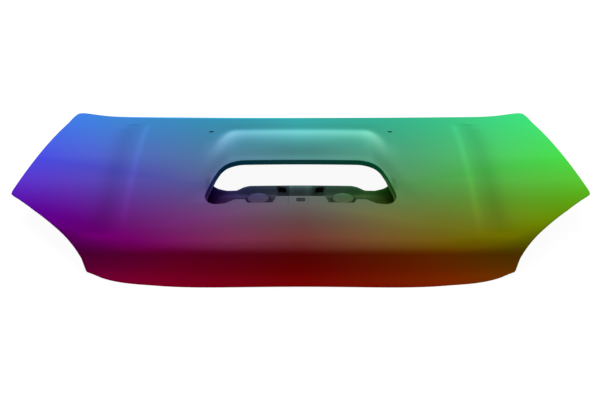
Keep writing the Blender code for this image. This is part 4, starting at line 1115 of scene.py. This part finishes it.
def close_tree(tree, geometry, look):
    """Realize, give the finish and join the tree's end."""
    solid = put(tree, 'GeometryNodeRealizeInstances', {"Geometry": geometry}).outputs["Geometry"]
    coated = put(tree, 'GeometryNodeSetMaterial', {"Geometry": solid, "Material": look}).outputs["Geometry"]
    tree.links.new(coated, tree.nodes.new('NodeGroupOutput').inputs["Geometry"])


def stored(tree, label):
    """A vector that the carrier keeps for each of its points."""
    node = put(tree, 'GeometryNodeInputNamedAttribute', {"Name": label}, data_type='FLOAT_VECTOR')
    return node.outputs["Attribute"]


def grown(name, tree, points, edges=(), turns=None, scales=None, **values):
    """Run a geometry tree on a carrier of points and edges and keep its result as a plain mesh."""
    carrier = bpy.data.meshes.new(name + "_carrier")
    carrier.from_pydata([tuple(map(float, point)) for point in points], list(edges), [])
    for label, data in (("turn", turns), ("scale", scales)):
        if data is not None:
            kept = carrier.attributes.new(label, 'FLOAT_VECTOR', 'POINT')
            kept.data.foreach_set("vector", np.ravel(data).astype(float))
    piece = bpy.data.objects.new(name, carrier)
    bpy.context.scene.collection.objects.link(piece)
    modifier = piece.modifiers.new("nodes", 'NODES')
    modifier.node_group = tree
    for item in tree.interface.items_tree:
        if item.item_type == 'SOCKET' and item.in_out == 'INPUT' and item.name in values:
            modifier[item.identifier] = values[item.name]
    bpy.context.view_layer.update()
    done = bpy.data.meshes.new_from_object(piece.evaluated_get(bpy.context.evaluated_depsgraph_get()))
    piece.modifiers.clear()
    piece.data = done
    done.name = name
    bpy.data.meshes.remove(carrier)
    done.shade_smooth()
    done.set_sharp_from_angle(angle=math.radians(40))
    print(name, "triangles", sum(len(face.vertices) - 2 for face in done.polygons))
    return piece


# %% [markdown]
# ## Mastic drops
# Twenty drops of mastic hold the skin quiet over the frame's raised rims. Each was squeezed out soft
# and pressed flat, so its side bulges and its rim is a little uneven. The tree sets one drop on each
# point, turned square to the skin and as high as the gap is there.

# %% Grow the mastic drops
DROP_RADIUS, DROP_UNEVENNESS = 0.005, 0.05
drops, given = geometry_tree("mastic drops", Radius=DROP_RADIUS, Unevenness=DROP_UNEVENNESS)
ball = put(drops, 'GeometryNodeMeshUVSphere', {"Segments": 28, "Rings": 18, "Radius": 1.0}).outputs["Mesh"]
axes = parts_of(drops, put(drops, 'GeometryNodeInputPosition').outputs["Position"])
taller = product(drops, axes["Z"], 1.25)
flat_z = put(drops, 'ShaderNodeClamp', {"Value": taller, "Min": -0.5, "Max": 0.5}).outputs["Result"]
pressed = put(drops, 'ShaderNodeCombineXYZ', {"X": axes["X"], "Y": axes["Y"], "Z": flat_z}).outputs["Vector"]
drop = put(drops, 'GeometryNodeSetPosition', {"Geometry": ball, "Position": pressed}).outputs["Geometry"]
set_out = put(drops, 'GeometryNodeInstanceOnPoints', {
    "Points": given["Geometry"], "Instance": drop, "Rotation": stored(drops, "turn"),
    "Scale": stored(drops, "scale")}).outputs["Instances"]
real = put(drops, 'GeometryNodeRealizeInstances', {"Geometry": set_out}).outputs["Geometry"]
wobble = put(drops, 'ShaderNodeTexNoise', {"Scale": 240.0, "Detail": 1.0}).outputs["Fac"]
normal = put(drops, 'GeometryNodeInputNormal').outputs["Normal"]
sideways = put(drops, 'ShaderNodeVectorMath', {0: normal, 1: (1, 1, 0)}, operation='MULTIPLY')
most = product(drops, given["Unevenness"], given["Radius"])
reach = product(drops, maths(drops, 'SUBTRACT', wobble, 0.62), most, 4.0)
offset = scaled(drops, sideways.outputs["Vector"], reach)
moved = put(drops, 'GeometryNodeSetPosition', {"Geometry": real, "Offset": offset})
close_tree(drops, moved.outputs["Geometry"], mastic)

pads = sorted(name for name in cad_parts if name.startswith("mastic_pad"))
half_width, pad_width = 0.0049, 0.0099
middles, turns, scales = [], [], []
for name in pads:
    low, high = (np.array(end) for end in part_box(name))
    middle = (low + high) / 2
    middles.append(middle)
    matrix = on_surface(*(middle - REST)[:2])
    turns.append(tuple(matrix.to_euler()))
    tilt_height = pad_width * math.hypot(matrix.col[2][0], matrix.col[2][1])
    scales.append((half_width, half_width, float(high[2] - low[2]) - tilt_height))
drops_piece = grown("mastic_drops", drops, middles, turns=turns, scales=scales,
                    Radius=DROP_RADIUS, Unevenness=DROP_UNEVENNESS)
sit(drops_piece, "mastic", *pads)

# %% [markdown]
# ## Sealer along the hem
# A bead of sealer follows the folded edge all round on the inside, where the flange ends on the frame.
# It was run by hand, so its thickness wanders a little. The tree sweeps a round section along the hem's
# own line.

# %% Grow the sealer bead
BEAD_RADIUS, BEAD_WANDER = 0.0013, 0.5
bead_tree, given = geometry_tree("sealer bead", Radius=BEAD_RADIUS, Wander=BEAD_WANDER)
path = put(bead_tree, 'GeometryNodeMeshToCurve', {"Mesh": given["Geometry"]}).outputs["Curve"]
thick = put(bead_tree, 'ShaderNodeTexNoise', {"Scale": 55.0, "Detail": 2.0}).outputs["Fac"]
change = product(bead_tree, maths(bead_tree, 'SUBTRACT', thick, 0.5), given["Wander"])
width = product(bead_tree, given["Radius"], maths(bead_tree, 'ADD', change, 1.0))
path = put(bead_tree, 'GeometryNodeSetCurveRadius', {"Curve": path, "Radius": width}).outputs["Curve"]
ring = put(bead_tree, 'GeometryNodeCurvePrimitiveCircle', {"Resolution": 10, "Radius": 1.0}).outputs["Curve"]
swept = put(bead_tree, 'GeometryNodeCurveToMesh', {"Curve": path, "Profile Curve": ring})
if "Scale" in swept.inputs:
    bead_tree.links.new(width, swept.inputs["Scale"])
close_tree(bead_tree, swept.outputs["Mesh"], mastic)

bead_inwards, bead_depth, shortest = 0.0121, 0.0024, 0.0012
bead_line = under_skin(edge + (inner_line - edge) * (bead_inwards / HEM_RING), np.full(len(edge), bead_depth))
run = bead_line[bead_line[:, 0] > 0.0004]
loop = np.concatenate([run, run[::-1] * (-1, 1, 1)]) + REST
keep = [0]
for k in range(1, len(loop)):
    if np.linalg.norm(loop[k] - loop[keep[-1]]) > shortest:
        keep.append(k)
loop = loop[keep]
links = [(k, (k + 1) % len(loop)) for k in range(len(loop))]
bead = grown("hem_sealer", bead_tree, loop, links, Radius=BEAD_RADIUS, Wander=BEAD_WANDER)
sit(bead, "mastic")

# %% [markdown]
# ## Spot welds
# The reinforcements are welded to the frame with round spots 5 mm wide, and the paint covers them. A
# spot is a low flat disc. The tree repeats it at each place, turned to the sheet that it is on.

# %% Grow the spot welds
WELD_WIDTH = 0.005
welds, given = geometry_tree("spot welds", Width=WELD_WIDTH)
disc = put(welds, 'GeometryNodeMeshCone', {
    "Vertices": 20, "Side Segments": 1, "Fill Segments": 1, "Radius Top": 0.62, "Radius Bottom": 1.0,
    "Depth": 0.10}).outputs["Mesh"]
half = product(welds, given["Width"], 0.5)
size = put(welds, 'ShaderNodeCombineXYZ', {"X": half, "Y": half, "Z": half}).outputs["Vector"]
spread_out = put(welds, 'GeometryNodeInstanceOnPoints', {
    "Points": given["Geometry"], "Instance": disc, "Rotation": stored(welds, "turn"),
    "Scale": size}).outputs["Instances"]
close_tree(welds, spread_out, frame_paint)

face_down = Matrix.Rotation(math.pi, 4, 'X')
stands_off, nose_weld_z = 0.0007, 0.0463
welded = [(plane_at(HINGE_PAD, side), x, y)
          for side in (-1, 1) for x in (-0.019, 0.019) for y in (-0.019, 0.0, 0.019)]
welded += [(plane_at(STAY_PAD, -1), x, y) for x in (-0.012, 0.012) for y in (-0.012, 0.012)]
weld_spots = [pad @ face_down @ Matrix.Translation((x, y, stands_off)) for pad, x, y in welded]
weld_spots += [lift @ Matrix.Translation((x, y, nose_weld_z)) @ face_down
               for x in (-0.048, 0.048) for y in (-0.452, -0.420)]
weld_piece = grown("spot_welds", welds, [spot_at.translation for spot_at in weld_spots],
                   turns=[tuple(spot_at.to_euler()) for spot_at in weld_spots], Width=WELD_WIDTH)
sit(weld_piece, "frame_paint")

# %% [markdown]
# ## The striker's rod
# The latch closes on this rod and keeps its lower part bright. It is swept here with a round section
# and soft bends.

# %% Make the striker's rod
rod_low, rod_high = (np.array(end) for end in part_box("striker_loop"))
rod_radius = (rod_high[0] - rod_low[0]) / 2
front_y, rear_y, foot_z = rod_low[1] + rod_radius, rod_high[1] - rod_radius, rod_low[2] + rod_radius
top_z, straight, bend = rod_high[2], 0.012, 0.009
route = [(front_y, top_z), (front_y, top_z - straight)]
for centre_y, start in ((front_y + bend, 180), (rear_y - bend, 270)):
    angles = np.radians(start + 9 * np.arange(11))
    route += [(centre_y + bend * math.cos(angle), foot_z + bend + bend * math.sin(angle)) for angle in angles]
route += [(rear_y, top_z - straight), (rear_y, top_z)]
path = bpy.data.curves.new("striker_rod", 'CURVE')
path.dimensions, path.bevel_depth, path.bevel_resolution, path.use_fill_caps = '3D', rod_radius, 8, True
spline = path.splines.new('POLY')
spline.points.add(len(route) - 1)
for point, (y, z) in zip(spline.points, route):
    point.co = ((rod_low[0] + rod_high[0]) / 2, y, z, 1)
carrier = bpy.data.objects.new("striker_rod", path)
bpy.context.scene.collection.objects.link(carrier)
bpy.context.view_layer.update()
rod_mesh = bpy.data.meshes.new_from_object(carrier.evaluated_get(bpy.context.evaluated_depsgraph_get()))
bpy.data.objects.remove(carrier)
rod_mesh.name = "striker_rod"
rod = finished("striker_rod", rod_mesh)
dress(rod, steel, "bare_steel", "striker_loop")

# %% [markdown]
# ## Floor and light
# The floor is white to the camera and still darkens under the bonnet. A white sky from all round and
# one wide soft lamp over the rear light the paint at the level it was mixed at.

# %% Floor and light
def seen_as(tree, plain, to_camera, end):
    """The camera sees one shader, and the light that bounces about meets the other."""
    from_camera = put(tree, 'ShaderNodeLightPath').outputs["Is Camera Ray"]
    either = put(tree, 'ShaderNodeMixShader', {"Fac": from_camera})
    tree.links.new(plain.outputs[0], either.inputs[1])
    tree.links.new(to_camera.outputs[0], either.inputs[2])
    tree.links.new(either.outputs[0], end)


scene = bpy.context.scene
scene.view_settings.view_transform = 'Standard'
bpy.ops.mesh.primitive_plane_add(size=60, location=(0, 0, 0))
floor = bpy.context.object
floor.name = "floor"
look, tree, shader = new_material("white floor", Roughness=0.9, Specular_IOR_Level=0.0)
shader.inputs["Base Color"].default_value = (0.8, 0.8, 0.8, 1)
shadow_catcher = put(tree, 'ShaderNodeBsdfDiffuse', {"Color": (0.14, 0.14, 0.14, 1)})
glow = put(tree, 'ShaderNodeEmission', {"Color": (1, 1, 1, 1), "Strength": 0.94})
both = put(tree, 'ShaderNodeAddShader')
tree.links.new(shadow_catcher.outputs[0], both.inputs[0])
tree.links.new(glow.outputs[0], both.inputs[1])
seen_as(tree, shader, both, tree.nodes["Material Output"].inputs["Surface"])
floor.data.materials.append(look)

world = bpy.data.worlds.new("studio")
scene.world = world
world.use_nodes = True
sky = world.node_tree
around = sky.nodes["Background"]
around.inputs["Color"].default_value = (1, 1, 1, 1)
around.inputs["Strength"].default_value = 0.62
backdrop = put(sky, 'ShaderNodeBackground', {"Color": (1, 1, 1, 1), "Strength": 1.0})
seen_as(sky, around, backdrop, sky.nodes["World Output"].inputs["Surface"])

lamp_data = bpy.data.lights.new("soft box", 'AREA')
lamp_data.shape, lamp_data.energy = 'RECTANGLE', 52
lamp_data.size, lamp_data.size_y = 3.0, 1.6
lamp = bpy.data.objects.new("soft box", lamp_data)
scene.collection.objects.link(lamp)
lamp.location = (-0.3, 1.1, 2.6)
lamp.rotation_euler = (Vector((0, 0, 0)) - lamp.location).to_track_quat('-Z', 'Y').to_euler()
print("floor and", lamp.name, "at", tuple(lamp.location))

# %% [markdown]
# ## The camera
# The camera looks at the bonnet from the front and from about 26 degrees up, as the photograph does.

# %% Camera
camera = bpy.data.objects.new("camera", bpy.data.cameras.new("camera"))
scene.collection.objects.link(camera)
tilt, away = math.radians(26.42), 3.35
focal_pixels, picture_width, sensor_width = 1281, 600, 36
aim = Vector((-0.0018, -0.071, 0)) + Vector(REST)
camera.location = aim + Vector((0, -away * math.cos(tilt), away * math.sin(tilt)))
camera.rotation_euler = (math.pi / 2 - tilt, 0, 0)
camera.data.sensor_width = sensor_width
camera.data.lens = focal_pixels * sensor_width / picture_width
scene.camera = camera
print("camera", round(camera.data.lens, 1), "mm lens")
